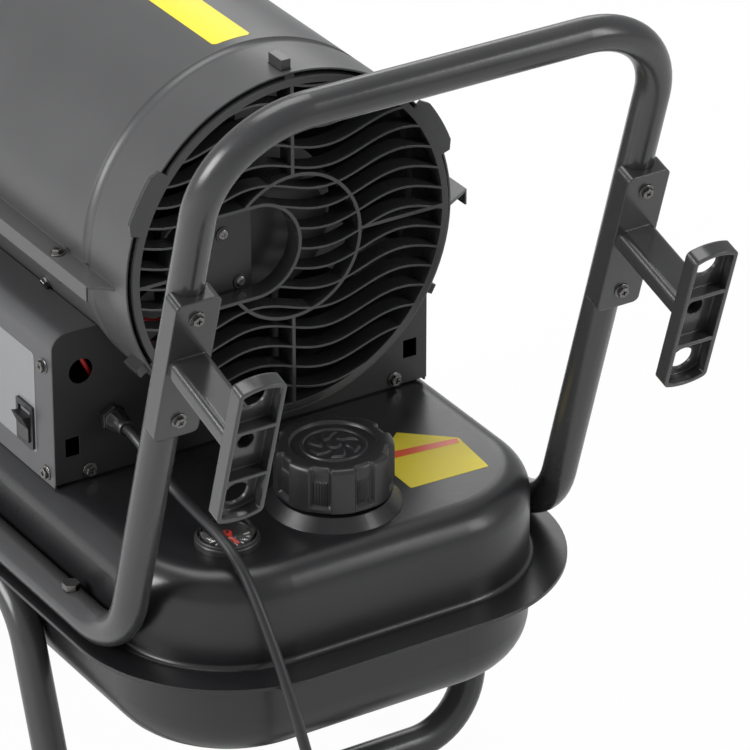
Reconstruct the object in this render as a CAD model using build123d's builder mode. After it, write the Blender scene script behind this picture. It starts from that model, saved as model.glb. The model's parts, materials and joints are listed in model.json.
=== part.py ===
from build123d import *
import os
from math import cos, degrees, hypot, pi, radians, sin, sqrt, tan

# Forced air heater. Millimetres. +X points to the air inlet at the rear, +Z up, and the control panel
# faces -Y. The origin is on the floor, in the middle of the length and of the width.

# ------------------------------------------------------------------ driving dimensions
# Barrel
barrel_radius = 116.0
barrel_length = 537.1
barrel_sheet = 1.2
barrel_axis_z = 414.0
rim_x = 154.0
seam_drop = 4.75
seam_left_reach = 14.1
seam_right_reach = 21.0
seam_flange_start = 42.0
seam_left_end = 24.0
seam_right_end = 14.0
seam_chamfer = 12.0
seam_screw_reach = 7.0
seam_lip = 9.5
seam_lip_gap = 0.3
seam_screw_places = (-280.0, -100.0, 82.0)
side_screw_x = 69.0
side_screw_angle = 193.6
groove_depth = 2.0
groove_half_width = 5.0
groove_from_end = 48.0
# Combustion chamber and burner
chamber_radius = 86.0
chamber_sheet = 1.5
chamber_rear_x = -82.0
chamber_front_gap = 5.0
vent_radius = 4.0
vent_count = 16
vent_row_places = (-130.0, -180.0, -230.0)
ring_setback = 4.0
ring_sheet = 1.5
ring_collar = 12.0
support_angles = (90.0, 210.0, 330.0)
support_width = 20.0
support_sheet_angle = 1.5
disc_radius = 45.0
disc_x = -255.0
disc_arm_width = 12.0
head_plate = 2.0
head_tube_radius = 27.0
head_tube_wall = 1.5
head_tube_length = 20.0
head_hole_circle = 17.0
nozzle_radius = 7.0
nozzle_block = 24.0
nozzle_block_length = 20.0
igniter_radius = 4.0
photocell_radius = 6.0
photocell_length = 25.0
# Motor, pump and fan
motor_radius = 46.0
motor_length = 76.0
bracket_sheet = 2.0
bracket_after_groove = 1.0
bracket_arm_width = 30.0
shaft_radius = 5.0
running_clearance = 0.05
shaft_front_x = -2.0
fan_hub_radius = 22.0
fan_hub_length = 20.0
fan_hub_x = 2.0
fan_radius = 98.0
fan_chord = 54.0
fan_blade_sheet = 1.6
fan_pitch = 35.0
fan_blades = 5
pump_radius = 38.0
pump_length = 18.0
pump_wall = 2.0
pump_bore = 27.0
pump_offset = 1.5
rotor_radius = 25.0
rotor_end_gap = 0.3
cover_plate = 2.0
cover_depth = 8.0
cover_inner_y = -21.0
cover_outer_y = -84.0
cover_height = 60.0
cover_screw_places = ((-41.0, 13.0), (-29.0, -22.0))
# Rear guard
guard_depth = 13.0
guard_proud = 3.0
guard_ring_outer = 112.5
guard_ring_inner = 108.0
guard_rib = 2.2
guard_vane = 1.5
guard_pitch = 13.7
guard_wave = 5.8
guard_wave_length = 105.0
guard_crest_y = -28.5
guard_inner_ring = 48.0
guard_opening_radius = 31.0
guard_opening_right_y = -26.0
guard_opening_left_y = -56.0
guard_opening_z = 3.0
flap_places = (28.5, 151.5)
flap_span = 21.0
flap_height = 9.5
flap_cut = 3.0
flap_gap = 0.3
tab_places = (90.0, 210.0, 330.0)
tab_x = 135.0
tab_length = 15.0
tab_width_guard = 6.5
tab_proud = 7.0
tab_leg = 3.0
tab_gap = 0.5
# Housing under the barrel
housing_half_width = 136.3
housing_rear_x = 95.2
housing_length = 270.0
housing_top_z = 361.0
housing_sheet = 1.2
housing_corner = 10.0
cover_top_inset = 32.3
panel_skirt = 1.3
tab_width = 18.0
tab_height = 84.0
tab_low_z = 260.0
foot_height = 12.0
base_inset = 18.3
sight_hole_radius = 8.5
sight_hole_inset = 20.1
sight_hole_z = 332.8
square_hole_width = 10.0
square_hole_height = 13.0
square_hole_inset = 12.8
square_hole_z = 281.5
panel_screw_inset = 11.0
panel_screw_heights = (262.0, 337.3)
foot_screw_inset = 24.3
# Rocker switch
switch_x = 60.0
switch_z = 286.3
bezel_width = 21.0
bezel_height = 30.0
bezel_proud = 2.0
switch_depth = 22.0
switch_opening_width = 15.0
switch_opening_height = 22.0
rocker_half_height = 9.5
rocker_side_gap = 0.4
rocker_tilt = 12.0
rocker_pivot_depth = 1.6
rocker_face = 5.0
rocker_pin = 1.2
rocker_back = 4.0
# Cord, gland and plug
cord_diameter = 7.0
gland_inset = 40.4
gland_z = 295.4
gland_hex = 9.0
gland_nut = 5.0
gland_dome = 15.0
gland_thread = 6.5
gland_inside = 8.0
gland_lip = 1.8
coil_step = 7.5
coil_outer = 47.75
coil_half_turns = 4
plug_aside = 15.0
coil_centre_x = 222.0
coil_centre_y = 0.0
plug_radius = 18.5
plug_length = 38.0
plug_relief = 25.0
plug_pin_radius = 2.4
plug_pin_length = 19.0
plug_pin_spacing = 19.0
# Tank
tank_length = 524.0
tank_width = 288.4
tank_corner = 81.0
tank_top_z = 256.0
tank_split_z = 192.8
tank_bottom_z = 124.0
tank_sheet = 1.2
tank_flange = 24.0
tank_shoulder = 20.0
tank_sole = 30.0
tank_root = 3.5
# Filler and cap
filler_x = 200.0
filler_y = 2.0
neck_radius = 30.0
neck_wall = 3.0
neck_top_z = 285.0
collar_radius = 43.0
collar_top_radius = 36.0
collar_height = 8.0
cap_radius = 37.5
cap_top_z = 297.3
cap_height = 30.0
cap_crown = 7.0
cap_skirt_gap = 1.0
cap_flutes = 8
cap_flute_radius = 9.0
cap_flute_depth = 2.2
cap_recess_radius = 27.0
cap_recess = 2.0
seal_gap = 0.1
# Fuel gauge
gauge_x = 209.0
gauge_y = -80.0
gauge_radius = 20.3
gauge_bore = 16.0
gauge_ring_height = 5.0
gauge_ring_round = 1.5
dial_sunk = 0.5
gauge_body_low_z = 240.0
gauge_fork_low_z = 221.0
lens_radius = 18.0
lens_height = 7.0
lens_round = 5.5
lens_wall = 1.5
needle_pin = 1.0
needle_length = 13.0
arm_pivot_z = 225.0
arm_pivot_pin = 1.5
arm_length = 90.0
arm_rod = 1.5
arm_rest_angle = 30.0
float_radius = 12.0
float_length = 30.0
# Frame tubes
tube_radius = 11.0
tube_wall = 1.5
frame_half_width = 155.5
handle_front_x = -175.0
handle_foot_x = 210.0
handle_top_x = 328.8
handle_top_z = 599.4
handle_foot_bend = 53.0
handle_top_bend = 62.0
stand_front_x = -215.0
stand_knee_x = 77.0
stand_foot_x = 134.7
stand_front_bend = 50.0
stand_knee_bend = 50.0
stand_foot_bend = 52.6
bolt_places = (147.0, 5.0, -140.0)
bolt_radius = 3.0
bolt_hole_gap = 0.2
bolt_head = 4.0
nut_height = 5.0
# Wheels
wheel_radius = 100.0
tyre_width = 40.0
tyre_depth = 22.0
rim_ring = 4.0
rim_web = 4.0
hub_radius = 16.0
axle_radius = 6.0
axle_end_gap = 0.3
axle_hole_gap = 0.1
cap_nut_length = 9.0
cap_nut_radius = 12.0
leg_below_axle = 14.0
# Cord hooks
hook_along = 246.0
hook_length = 107.0
hook_width = 30.0
hook_back = 16.0
hook_front = 3.0
hook_screw_offset = 40.0
arm_place = 3.5
arm_reach = 65.0
arm_thickness = 14.5
arm_width = 26.0
arm_corner = 4.5
arm_bore = 5.5
plate_length = 106.0
plate_width = 31.0
plate_depth = 10.0
plate_rim = 2.6
plate_floor = 2.0
plate_corner = 4.0
plate_crown = 3.0
plate_rib_place = 19.0
plate_hole_place = 38.0
screw_radius = 2.5
screw_head_radius = 5.0
screw_head_height = 3.5
screw_hex_radius = 4.0
washer_height = 0.9
# Fuel and air lines
fuel_line_radius = 2.5
air_line_radius = 3.0
line_x = -50.0
line_y = 6.0
pickup_gap = 14.0
filter_radius = 10.0
filter_length = 26.0
drain_x = -200.0
drain_radius = 6.0

# ------------------------------------------------------------------ sizes worked out from them
barrel_front_x = rim_x - barrel_length
barrel_inner = barrel_radius - barrel_sheet
seam_z = barrel_axis_z - seam_drop
seam_y = sqrt(barrel_radius**2 - seam_drop**2)
seam_screw_y = seam_y + seam_screw_reach
seam_sides = ((-1, seam_left_reach, seam_left_end), (1, seam_right_reach, seam_right_end))
barrel_axis = Axis((0, 0, barrel_axis_z), (1, 0, 0))
housing_front_x = housing_rear_x - housing_length
plate_inner_y = housing_half_width - housing_sheet
cover_top_inner = housing_half_width - cover_top_inset
base_half_width = housing_half_width - base_inset
sight_hole_y = sight_hole_inset - housing_half_width
square_hole_y = housing_half_width - square_hole_inset
foot_screw_y = housing_half_width - foot_screw_inset
gland_y = gland_inset - housing_half_width
side_screw_way = Vector(0, cos(radians(side_screw_angle)), sin(radians(side_screw_angle)))
side_screw_plane = Plane(origin=Vector(side_screw_x, 0, barrel_axis_z) + side_screw_way * barrel_radius,
                         x_dir=(1, 0, 0), z_dir=side_screw_way)
flange_top_z = tank_split_z + tank_sheet
flange_low_z = tank_split_z - tank_sheet
handle_rail_z = flange_top_z + tube_radius
stand_rail_z = flange_low_z - tube_radius
axle_z = wheel_radius
cord_radius = cord_diameter / 2
bracket_x = rim_x - groove_from_end + groove_half_width + bracket_after_groove
pump_x = bracket_x + bracket_sheet
cover_x = pump_x + pump_length
motor_front_x = bracket_x - motor_length
head_front_x = chamber_rear_x
head_rear_x = head_front_x + head_plate + head_tube_length
leg_run = hypot(handle_top_x - handle_foot_x, handle_top_z - handle_rail_z)
leg_sin = (handle_top_x - handle_foot_x) / leg_run
leg_cos = (handle_top_z - handle_rail_z) / leg_run

os.makedirs("parts", exist_ok=True)


def keep(piece, name):
    """Label one finished piece and write its STEP file."""
    piece.part.label = name
    export_step(piece.part, f"parts/{name}.step")


def at_x(x, y=0.0, z=barrel_axis_z):
    """Plane square to the barrel axis: its sketch has local x along +Y and local y along +Z."""
    return Plane(origin=(x, y, z), x_dir=(0, 1, 0), z_dir=(1, 0, 0))


# ------------------------------------------------------------------ barrel shells
def wall_line(radius):
    """Axial outline of the barrel wall at one radius, with its two pressed grooves."""
    height = barrel_axis_z + radius
    low = height - groove_depth
    front_groove = barrel_front_x + groove_from_end
    rear_groove = rim_x - groove_from_end
    w = groove_half_width
    return (
        Line((barrel_front_x, height), (front_groove - w, height)),
        ThreePointArc((front_groove - w, height), (front_groove, low), (front_groove + w, height)),
        Line((front_groove + w, height), (rear_groove - w, height)),
        ThreePointArc((rear_groove - w, height), (rear_groove, low), (rear_groove + w, height)),
        Line((rear_groove + w, height), (rim_x, height)),
    )


def half_shell(upper):
    """One half of the barrel; the upper half's side flanges turn down over the lower half's."""
    flange_low = seam_z if upper else seam_z - barrel_sheet
    short = 0 if upper else barrel_sheet + seam_lip_gap
    flange_start = barrel_front_x + seam_flange_start
    root_y = seam_y - barrel_sheet / 2
    with BuildPart() as shell:
        with BuildSketch(Plane.XZ):
            with BuildLine():
                wall_line(barrel_radius)
                wall_line(barrel_inner)
                Line((barrel_front_x, barrel_axis_z + barrel_radius),
                     (barrel_front_x, barrel_axis_z + barrel_inner))
                Line((rim_x, barrel_axis_z + barrel_radius), (rim_x, barrel_axis_z + barrel_inner))
            make_face()
        revolve(axis=barrel_axis)
        split(bisect_by=Plane.XY.offset(seam_z), keep=Keep.TOP if upper else Keep.BOTTOM)
        with BuildSketch(Plane.XY.offset(flange_low)):
            for side, reach, end in seam_sides:
                with BuildLine():
                    Polyline(
                        (flange_start, side * root_y),
                        (flange_start, side * (seam_y + reach - short)),
                        (rim_x - end, side * (seam_y + reach - short)),
                        (rim_x - end + seam_chamfer, side * root_y),
                        close=True,
                    )
                make_face()
        extrude(amount=barrel_sheet)
        if upper:
            with BuildSketch(Plane.XY.offset(seam_z - seam_lip)):
                for side, reach, end in seam_sides:
                    with Locations(((flange_start + rim_x - end) / 2,
                                    side * (seam_y + reach - barrel_sheet / 2))):
                        Rectangle(rim_x - end - flange_start, barrel_sheet)
            extrude(amount=seam_lip + barrel_sheet)
        else:
            with Locations((line_x, -line_y, barrel_axis_z - barrel_radius)):
                Cylinder(fuel_line_radius, 6 * barrel_sheet, mode=Mode.SUBTRACT)
            with Locations(side_screw_plane):
                Cylinder(screw_radius, 6 * barrel_sheet, mode=Mode.SUBTRACT)
        for x in seam_screw_places:
            for side in (-1, 1):
                with Locations((x, side * seam_screw_y, seam_z)):
                    Cylinder(screw_radius, 4 * barrel_sheet, mode=Mode.SUBTRACT)
        for place in tab_places:
            outward = Vector(0, cos(radians(place)), sin(radians(place)))
            if (outward.Z > 0) == upper:
                with Locations(Plane(origin=Vector(tab_x + tab_length / 2, 0, barrel_axis_z) + outward * barrel_radius,
                                     x_dir=(1, 0, 0), z_dir=outward)):
                    Box(tab_length + 2 * tab_gap, tab_width_guard + 2 * tab_gap, 6 * barrel_sheet,
                        mode=Mode.SUBTRACT)
    return shell


upper_shell = half_shell(True)
keep(upper_shell, "upper_shell")
lower_shell = half_shell(False)
keep(lower_shell, "lower_shell")

# ------------------------------------------------------------------ outlet ring and combustion chamber
with BuildPart() as outlet_ring:
    with BuildSketch(at_x(barrel_front_x + ring_setback)):
        Circle(barrel_inner)
        Circle(chamber_radius, mode=Mode.SUBTRACT)
    extrude(amount=ring_sheet)
    with BuildSketch(at_x(barrel_front_x + ring_setback)):
        Circle(barrel_inner)
        Circle(barrel_inner - ring_sheet, mode=Mode.SUBTRACT)
        Circle(chamber_radius + ring_sheet)
        Circle(chamber_radius, mode=Mode.SUBTRACT)
    extrude(amount=ring_collar)
keep(outlet_ring, "outlet_ring")

chamber_front_x = barrel_front_x + chamber_front_gap
with BuildPart() as combustion_chamber:
    with BuildSketch(at_x(chamber_front_x)):
        Circle(chamber_radius)
        Circle(chamber_radius - chamber_sheet, mode=Mode.SUBTRACT)
    extrude(amount=chamber_rear_x - chamber_front_x)
    for row in vent_row_places:
        for step in range(vent_count):
            outward = Vector(0, 1, 0).rotate(Axis.X, 360 * step / vent_count)
            wall_point = Vector(row, 0, barrel_axis_z) + outward * chamber_radius
            with Locations(Plane(origin=wall_point, z_dir=outward)):
                Hole(vent_radius, depth=3 * chamber_sheet)
keep(combustion_chamber, "combustion_chamber")

with BuildPart() as chamber_supports:
    with BuildSketch(at_x(chamber_rear_x - 3 * support_width)):
        for angle in support_angles:
            first = radians(angle - support_sheet_angle)
            last = radians(angle + support_sheet_angle)
            middle = radians(angle)
            with BuildLine():
                ThreePointArc(*[(barrel_inner * cos(a), barrel_inner * sin(a))
                                for a in (first, middle, last)])
                ThreePointArc(*[(chamber_radius * cos(a), chamber_radius * sin(a))
                                for a in (first, middle, last)])
                Line((barrel_inner * cos(first), barrel_inner * sin(first)),
                     (chamber_radius * cos(first), chamber_radius * sin(first)))
                Line((barrel_inner * cos(last), barrel_inner * sin(last)),
                     (chamber_radius * cos(last), chamber_radius * sin(last)))
            make_face()
    extrude(amount=support_width)
keep(chamber_supports, "chamber_supports")

with BuildPart() as flame_disc:
    with BuildSketch(at_x(disc_x)):
        with PolarLocations(chamber_radius / 2, 3):
            Rectangle(chamber_radius, disc_arm_width)
        Circle(disc_radius)
        Circle(chamber_radius - chamber_sheet, mode=Mode.INTERSECT)
    extrude(amount=chamber_sheet)
keep(flame_disc, "flame_disc")

# ------------------------------------------------------------------ burner
with BuildPart() as burner_head:
    with BuildSketch(at_x(head_front_x)):
        Circle(chamber_radius)
        Circle(head_tube_radius - head_tube_wall, mode=Mode.SUBTRACT)
        with PolarLocations(chamber_radius * 0.7, 12):
            SlotCenterToCenter(10, 4, mode=Mode.SUBTRACT)
    extrude(amount=head_plate)
    with BuildSketch(at_x(head_front_x)):
        Circle(head_tube_radius)
        Circle(head_tube_radius - head_tube_wall, mode=Mode.SUBTRACT)
    extrude(amount=head_plate + head_tube_length)
    with BuildSketch(at_x(head_rear_x)):
        Circle(head_tube_radius)
        Circle(nozzle_radius, mode=Mode.SUBTRACT)
        with PolarLocations(head_hole_circle, 6, start_angle=90):
            Circle(igniter_radius, mode=Mode.SUBTRACT)
    extrude(amount=head_plate)
keep(burner_head, "burner_head")

block_x = head_rear_x + head_plate
with BuildPart() as fuel_nozzle:
    with BuildSketch(at_x(block_x)):
        RectangleRounded(nozzle_block, nozzle_block, 2)
    extrude(amount=nozzle_block_length)
    with BuildSketch(at_x(head_front_x)):
        Circle(nozzle_radius)
    extrude(amount=block_x - head_front_x)
    chamfer(fuel_nozzle.faces().sort_by(Axis.X)[0].edges(), nozzle_radius / 2)
keep(fuel_nozzle, "fuel_nozzle")

igniter_z = barrel_axis_z + head_hole_circle
with BuildPart() as igniter:
    with BuildSketch(at_x(head_front_x, z=igniter_z)):
        Circle(igniter_radius)
    extrude(amount=block_x - head_front_x + 2 * igniter_radius)
    with BuildSketch(at_x(head_front_x - 3 * igniter_radius, z=igniter_z)):
        Circle(igniter_radius / 4)
    extrude(amount=3 * igniter_radius)
keep(igniter, "igniter")

with BuildPart() as photocell:
    with BuildSketch(at_x(head_front_x + head_plate, y=1.5 * head_tube_radius,
                          z=barrel_axis_z + head_tube_radius)):
        Circle(photocell_radius)
    extrude(amount=photocell_length)
    fillet(photocell.faces().sort_by(Axis.X)[-1].edges(), photocell_radius / 3)
keep(photocell, "photocell")

# ------------------------------------------------------------------ motor, fan and pump
with BuildPart() as motor_bracket:
    with BuildSketch(at_x(bracket_x)):
        with PolarLocations(barrel_inner / 2, 3, start_angle=90):
            Rectangle(barrel_inner, bracket_arm_width)
        Circle(motor_radius + 3 * bracket_sheet)
        Circle(barrel_inner, mode=Mode.INTERSECT)
        Circle(2 * shaft_radius, mode=Mode.SUBTRACT)
    extrude(amount=bracket_sheet)
keep(motor_bracket, "motor_bracket")

with BuildPart() as motor_body:
    with BuildSketch(at_x(motor_front_x)):
        Circle(motor_radius)
        Circle(shaft_radius + running_clearance, mode=Mode.SUBTRACT)
    extrude(amount=motor_length)
    with BuildSketch(at_x(motor_front_x + motor_length * 0.2)):
        Circle(motor_radius)
        Circle(motor_radius * 0.95, mode=Mode.SUBTRACT)
    extrude(amount=motor_length * 0.6, mode=Mode.SUBTRACT)
keep(motor_body, "motor_body")

shaft_rear_x = cover_x - rotor_end_gap
with BuildPart() as motor_shaft:
    with BuildSketch(at_x(shaft_front_x)):
        Circle(shaft_radius)
    extrude(amount=shaft_rear_x - shaft_front_x)
keep(motor_shaft, "motor_shaft")

with BuildPart() as fan:
    for blade in range(fan_blades):
        angle = radians(360 * blade / fan_blades)
        outward = Vector(0, cos(angle), sin(angle))
        around = Vector(0, -sin(angle), cos(angle))
        chord_way = Vector(1, 0, 0) * sin(radians(fan_pitch)) + around * cos(radians(fan_pitch))
        root = Vector(fan_hub_x + fan_hub_length / 2, 0, barrel_axis_z) + outward * (fan_hub_radius / 2)
        with BuildSketch(Plane(origin=root, x_dir=chord_way, z_dir=outward)):
            Rectangle(fan_chord, fan_blade_sheet)
        extrude(amount=fan_radius - fan_hub_radius / 2)
    with BuildSketch(at_x(fan_hub_x)):
        Circle(fan_hub_radius)
    extrude(amount=fan_hub_length)
    with BuildSketch(at_x(fan_hub_x - fan_chord)):
        Circle(shaft_radius)
    extrude(amount=2 * fan_chord + fan_hub_length, mode=Mode.SUBTRACT)
keep(fan, "fan")

with BuildPart() as pump_body:
    with BuildSketch(at_x(pump_x)):
        Circle(pump_radius)
        Circle(shaft_radius + running_clearance, mode=Mode.SUBTRACT)
    extrude(amount=pump_length)
    with BuildSketch(at_x(pump_x + pump_wall)):
        with Locations((0, pump_offset)):
            Circle(pump_bore)
    extrude(amount=pump_length, mode=Mode.SUBTRACT)
    with BuildSketch(Plane(origin=(pump_x + pump_length / 2, line_y,
                                   barrel_axis_z - pump_radius - 2 * air_line_radius),
                           z_dir=(0, 0, 1))):
        Circle(air_line_radius + 2)
    extrude(amount=3 * air_line_radius)
keep(pump_body, "pump_body")

with BuildPart() as pump_rotor:
    with BuildSketch(at_x(pump_x + pump_wall + rotor_end_gap)):
        Circle(rotor_radius)
        Circle(shaft_radius, mode=Mode.SUBTRACT)
        with PolarLocations(rotor_radius, 4):
            Rectangle(rotor_radius * 0.8, 2, mode=Mode.SUBTRACT)
    extrude(amount=pump_length - pump_wall - 2 * rotor_end_gap)
keep(pump_rotor, "pump_rotor")

with BuildPart() as pump_end_cover:
    with BuildSketch(at_x(cover_x)):
        Circle(pump_radius)
    extrude(amount=cover_plate)
    with BuildSketch(at_x(cover_x)):
        with Locations(((cover_inner_y + cover_outer_y) / 2, 0)):
            RectangleRounded(cover_inner_y - cover_outer_y, cover_height, 6)
    extrude(amount=cover_plate + cover_depth)
    for y, z in cover_screw_places:
        with BuildSketch(at_x(cover_x + cover_plate + cover_depth, y, barrel_axis_z + z)):
            Circle(screw_head_radius)
        extrude(amount=washer_height)
keep(pump_end_cover, "pump_end_cover")

# ------------------------------------------------------------------ rear guard
guard_x = rim_x + guard_proud - guard_depth


def wave_z(y, base):
    """Height of a louvre's centre line at one place across the guard."""
    return base + guard_wave * cos(2 * pi * (y - guard_crest_y) / guard_wave_length)


with BuildSketch() as guard_rings:
    Circle(guard_ring_outer)
    Circle(guard_ring_inner, mode=Mode.SUBTRACT)
    Circle(guard_inner_ring + guard_rib / 2)
    Circle(guard_inner_ring - guard_rib / 2, mode=Mode.SUBTRACT)

opening_length = guard_opening_right_y - guard_opening_left_y
opening_middle = (guard_opening_right_y + guard_opening_left_y) / 2
with BuildPart() as fan_guard:
    with BuildSketch(at_x(guard_x)) as guard_face:
        rows = int(guard_ring_outer / guard_pitch) + 1
        for row in range(-rows, rows + 1):
            base = row * guard_pitch
            reach = guard_wave_length * 1.25
            places = [guard_crest_y + reach * step / 10 for step in range(-10, 15)]
            with BuildLine():
                low = Spline(*[(y, wave_z(y, base) - guard_vane / 2) for y in places])
                high = Spline(*[(y, wave_z(y, base) + guard_vane / 2) for y in places])
                Line(low @ 0, high @ 0)
                Line(low @ 1, high @ 1)
            make_face()
        Circle(guard_ring_outer, mode=Mode.INTERSECT)
        with PolarLocations((guard_ring_inner + guard_inner_ring) / 2, 4):
            Rectangle(guard_ring_inner - guard_inner_ring, guard_rib)
        add(guard_rings.sketch)
        with Locations((opening_middle, guard_opening_z)):
            SlotCenterToCenter(opening_length, 2 * guard_opening_radius + guard_rib)
            SlotCenterToCenter(opening_length, 2 * guard_opening_radius - guard_rib,
                               mode=Mode.SUBTRACT)
    extrude(amount=guard_depth)
    flap_root, flap_top = guard_ring_outer - guard_rib, guard_ring_outer + flap_height
    for place in flap_places:
        foot = [radians(place + share * flap_span) for share in (-0.5, 0, 0.5)]
        top = [radians(place + share * (flap_span - 2 * flap_cut)) for share in (-0.5, 0, 0.5)]
        root_ends = [(flap_root * cos(a), flap_root * sin(a)) for a in foot]
        edge_ends = [(flap_top * cos(a), flap_top * sin(a)) for a in top]
        shoulders = [((flap_top - flap_cut) * cos(a), (flap_top - flap_cut) * sin(a)) for a in foot]
        with BuildSketch(at_x(rim_x + flap_gap)):
            with BuildLine():
                ThreePointArc(*root_ends)
                Line(root_ends[2], shoulders[2])
                Line(shoulders[2], edge_ends[2])
                ThreePointArc(*edge_ends)
                Line(edge_ends[0], shoulders[0])
                Line(shoulders[0], root_ends[0])
            make_face()
        extrude(amount=guard_proud - flap_gap)
    for place in tab_places:
        outward = Vector(0, cos(radians(place)), sin(radians(place)))
        leg_top = barrel_inner - tab_gap
        leg_low = leg_top - tab_leg
        with Locations(Plane(origin=Vector(0, 0, barrel_axis_z) + outward * (leg_low + leg_top) / 2,
                             x_dir=(1, 0, 0), z_dir=outward)):
            with Locations(((tab_x + rim_x) / 2, 0, 0)):
                Box(rim_x - tab_x, tab_width_guard, tab_leg)
        with Locations(Plane(origin=Vector(0, 0, barrel_axis_z) + outward * (leg_top + barrel_radius + tab_proud) / 2,
                             x_dir=(1, 0, 0), z_dir=outward)):
            with Locations((tab_x + tab_length / 2, 0, 0)):
                Box(tab_length, tab_width_guard, barrel_radius + tab_proud - leg_top)
keep(fan_guard, "fan_guard")

# ------------------------------------------------------------------ housing under the barrel
def panel_screw_planes(side, x):
    """Planes of one side's two cover screws at one end, facing outwards."""
    return [Plane(origin=(x, side * housing_half_width, z), x_dir=(1, 0, 0), z_dir=(0, side, 0))
            for z in panel_screw_heights]


foot_screw_planes = [at_x(housing_rear_x, side * foot_screw_y, tank_top_z + foot_height / 2)
                     for side in (-1, 1)]


def end_plate(face_x, outward):
    """Housing end plate with the barrel's cradle and side tabs folded inwards."""
    inner_x = face_x - outward * housing_sheet
    tab_x = inner_x - outward * tab_width / 2
    foot_z = tank_top_z + housing_sheet
    with BuildPart() as plate:
        with BuildSketch(at_x(min(face_x, inner_x), z=0)):
            with BuildLine():
                FilletPolyline(
                    (-housing_half_width, foot_z),
                    (-housing_half_width, housing_top_z),
                    (housing_half_width, housing_top_z),
                    (housing_half_width, foot_z),
                    radius=housing_corner,
                )
                Line((-housing_half_width, foot_z), (housing_half_width, foot_z))
            make_face()
            with Locations((0, barrel_axis_z)):
                Circle(barrel_radius, mode=Mode.SUBTRACT)
            with Locations((-square_hole_y, square_hole_z), (square_hole_y, square_hole_z)):
                Rectangle(square_hole_width, square_hole_height, mode=Mode.SUBTRACT)
        extrude(amount=housing_sheet)
        for side in (-1, 1):
            with Locations((tab_x, side * (plate_inner_y - housing_sheet / 2), tab_low_z + tab_height / 2)):
                Box(tab_width, housing_sheet, tab_height)
            with Locations(*panel_screw_planes(side, face_x - outward * panel_screw_inset)):
                Hole(screw_radius, depth=4 * housing_sheet)
        if outward > 0:
            with Locations(at_x(face_x, sight_hole_y, sight_hole_z)):
                Hole(sight_hole_radius, depth=2 * housing_sheet)
            with Locations(at_x(face_x, gland_y, gland_z)):
                Hole(gland_thread, depth=2 * housing_sheet)
            with Locations(*foot_screw_planes):
                Hole(screw_radius, depth=2 * housing_sheet)
    return plate


rear_plate = end_plate(housing_rear_x, 1)
keep(rear_plate, "rear_plate")
front_plate = end_plate(housing_front_x, -1)
keep(front_plate, "front_plate")

floor_length = housing_length - 2 * housing_sheet
floor_x = housing_rear_x - housing_length / 2
with BuildPart() as base_plate:
    with Locations((floor_x, 0, tank_top_z + housing_sheet / 2)):
        Box(floor_length, 2 * base_half_width, housing_sheet)
    with Locations(*[(floor_x + side * (floor_length - housing_sheet) / 2, 0, tank_top_z + foot_height / 2)
                     for side in (-1, 1)]):
        Box(housing_sheet, 2 * base_half_width, foot_height)
    with Locations((line_x, -line_y, tank_top_z)):
        Cylinder(fuel_line_radius, 6 * housing_sheet, mode=Mode.SUBTRACT)
    with Locations(*foot_screw_planes):
        Hole(screw_radius, depth=4 * housing_sheet)
keep(base_plate, "base_plate")


def side_panel(side):
    """Side cover of the housing: one bent sheet, with its top turned in to the barrel."""
    with BuildPart() as panel:
        with BuildSketch(Plane(origin=(housing_front_x + housing_sheet, 0, 0), x_dir=(0, 1, 0),
                               z_dir=(1, 0, 0))):
            with BuildLine():
                FilletPolyline(
                    (side * housing_half_width, tank_top_z - panel_skirt),
                    (side * housing_half_width, housing_top_z),
                    (side * cover_top_inner, housing_top_z),
                    radius=housing_corner,
                )
                FilletPolyline(
                    (side * plate_inner_y, tank_top_z - panel_skirt),
                    (side * plate_inner_y, housing_top_z - housing_sheet),
                    (side * cover_top_inner, housing_top_z - housing_sheet),
                    radius=housing_corner - housing_sheet,
                )
                Line((side * housing_half_width, tank_top_z - panel_skirt),
                     (side * plate_inner_y, tank_top_z - panel_skirt))
                Line((side * cover_top_inner, housing_top_z),
                     (side * cover_top_inner, housing_top_z - housing_sheet))
            make_face()
            with Locations((0, barrel_axis_z)):
                Circle(barrel_radius, mode=Mode.SUBTRACT)
        extrude(amount=housing_length - 2 * housing_sheet)
        for x in (housing_rear_x - panel_screw_inset, housing_front_x + panel_screw_inset):
            with Locations(*panel_screw_planes(side, x)):
                Hole(screw_radius, depth=4 * housing_sheet)
        if side < 0:
            with Locations((switch_x, side * (housing_half_width - housing_sheet / 2), switch_z)):
                Box(switch_opening_width + 4, 2 * housing_sheet, switch_opening_height + 4,
                    mode=Mode.SUBTRACT)
    return panel


control_panel = side_panel(-1)
keep(control_panel, "control_panel")
side_cover = side_panel(1)
keep(side_cover, "side_cover")

# ------------------------------------------------------------------ rocker switch
panel_y = -housing_half_width
with BuildPart() as switch_bezel:
    with Locations((switch_x, panel_y - bezel_proud / 2, switch_z)):
        Box(bezel_width, bezel_proud, bezel_height)
    fillet(switch_bezel.edges().filter_by(Axis.Y), 1.5)
    with Locations((switch_x, panel_y + switch_depth / 2, switch_z)):
        Box(switch_opening_width + 4, switch_depth, switch_opening_height + 4)
    with Locations((switch_x, panel_y - bezel_proud + switch_depth / 2, switch_z)):
        Box(switch_opening_width, switch_depth, switch_opening_height, mode=Mode.SUBTRACT)
    with Locations((switch_x, panel_y + rocker_pivot_depth, switch_z)):
        Cylinder(rocker_pin + running_clearance, switch_opening_width + 2.4, rotation=(0, 90, 0),
                 mode=Mode.SUBTRACT)
keep(switch_bezel, "switch_bezel")

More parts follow.
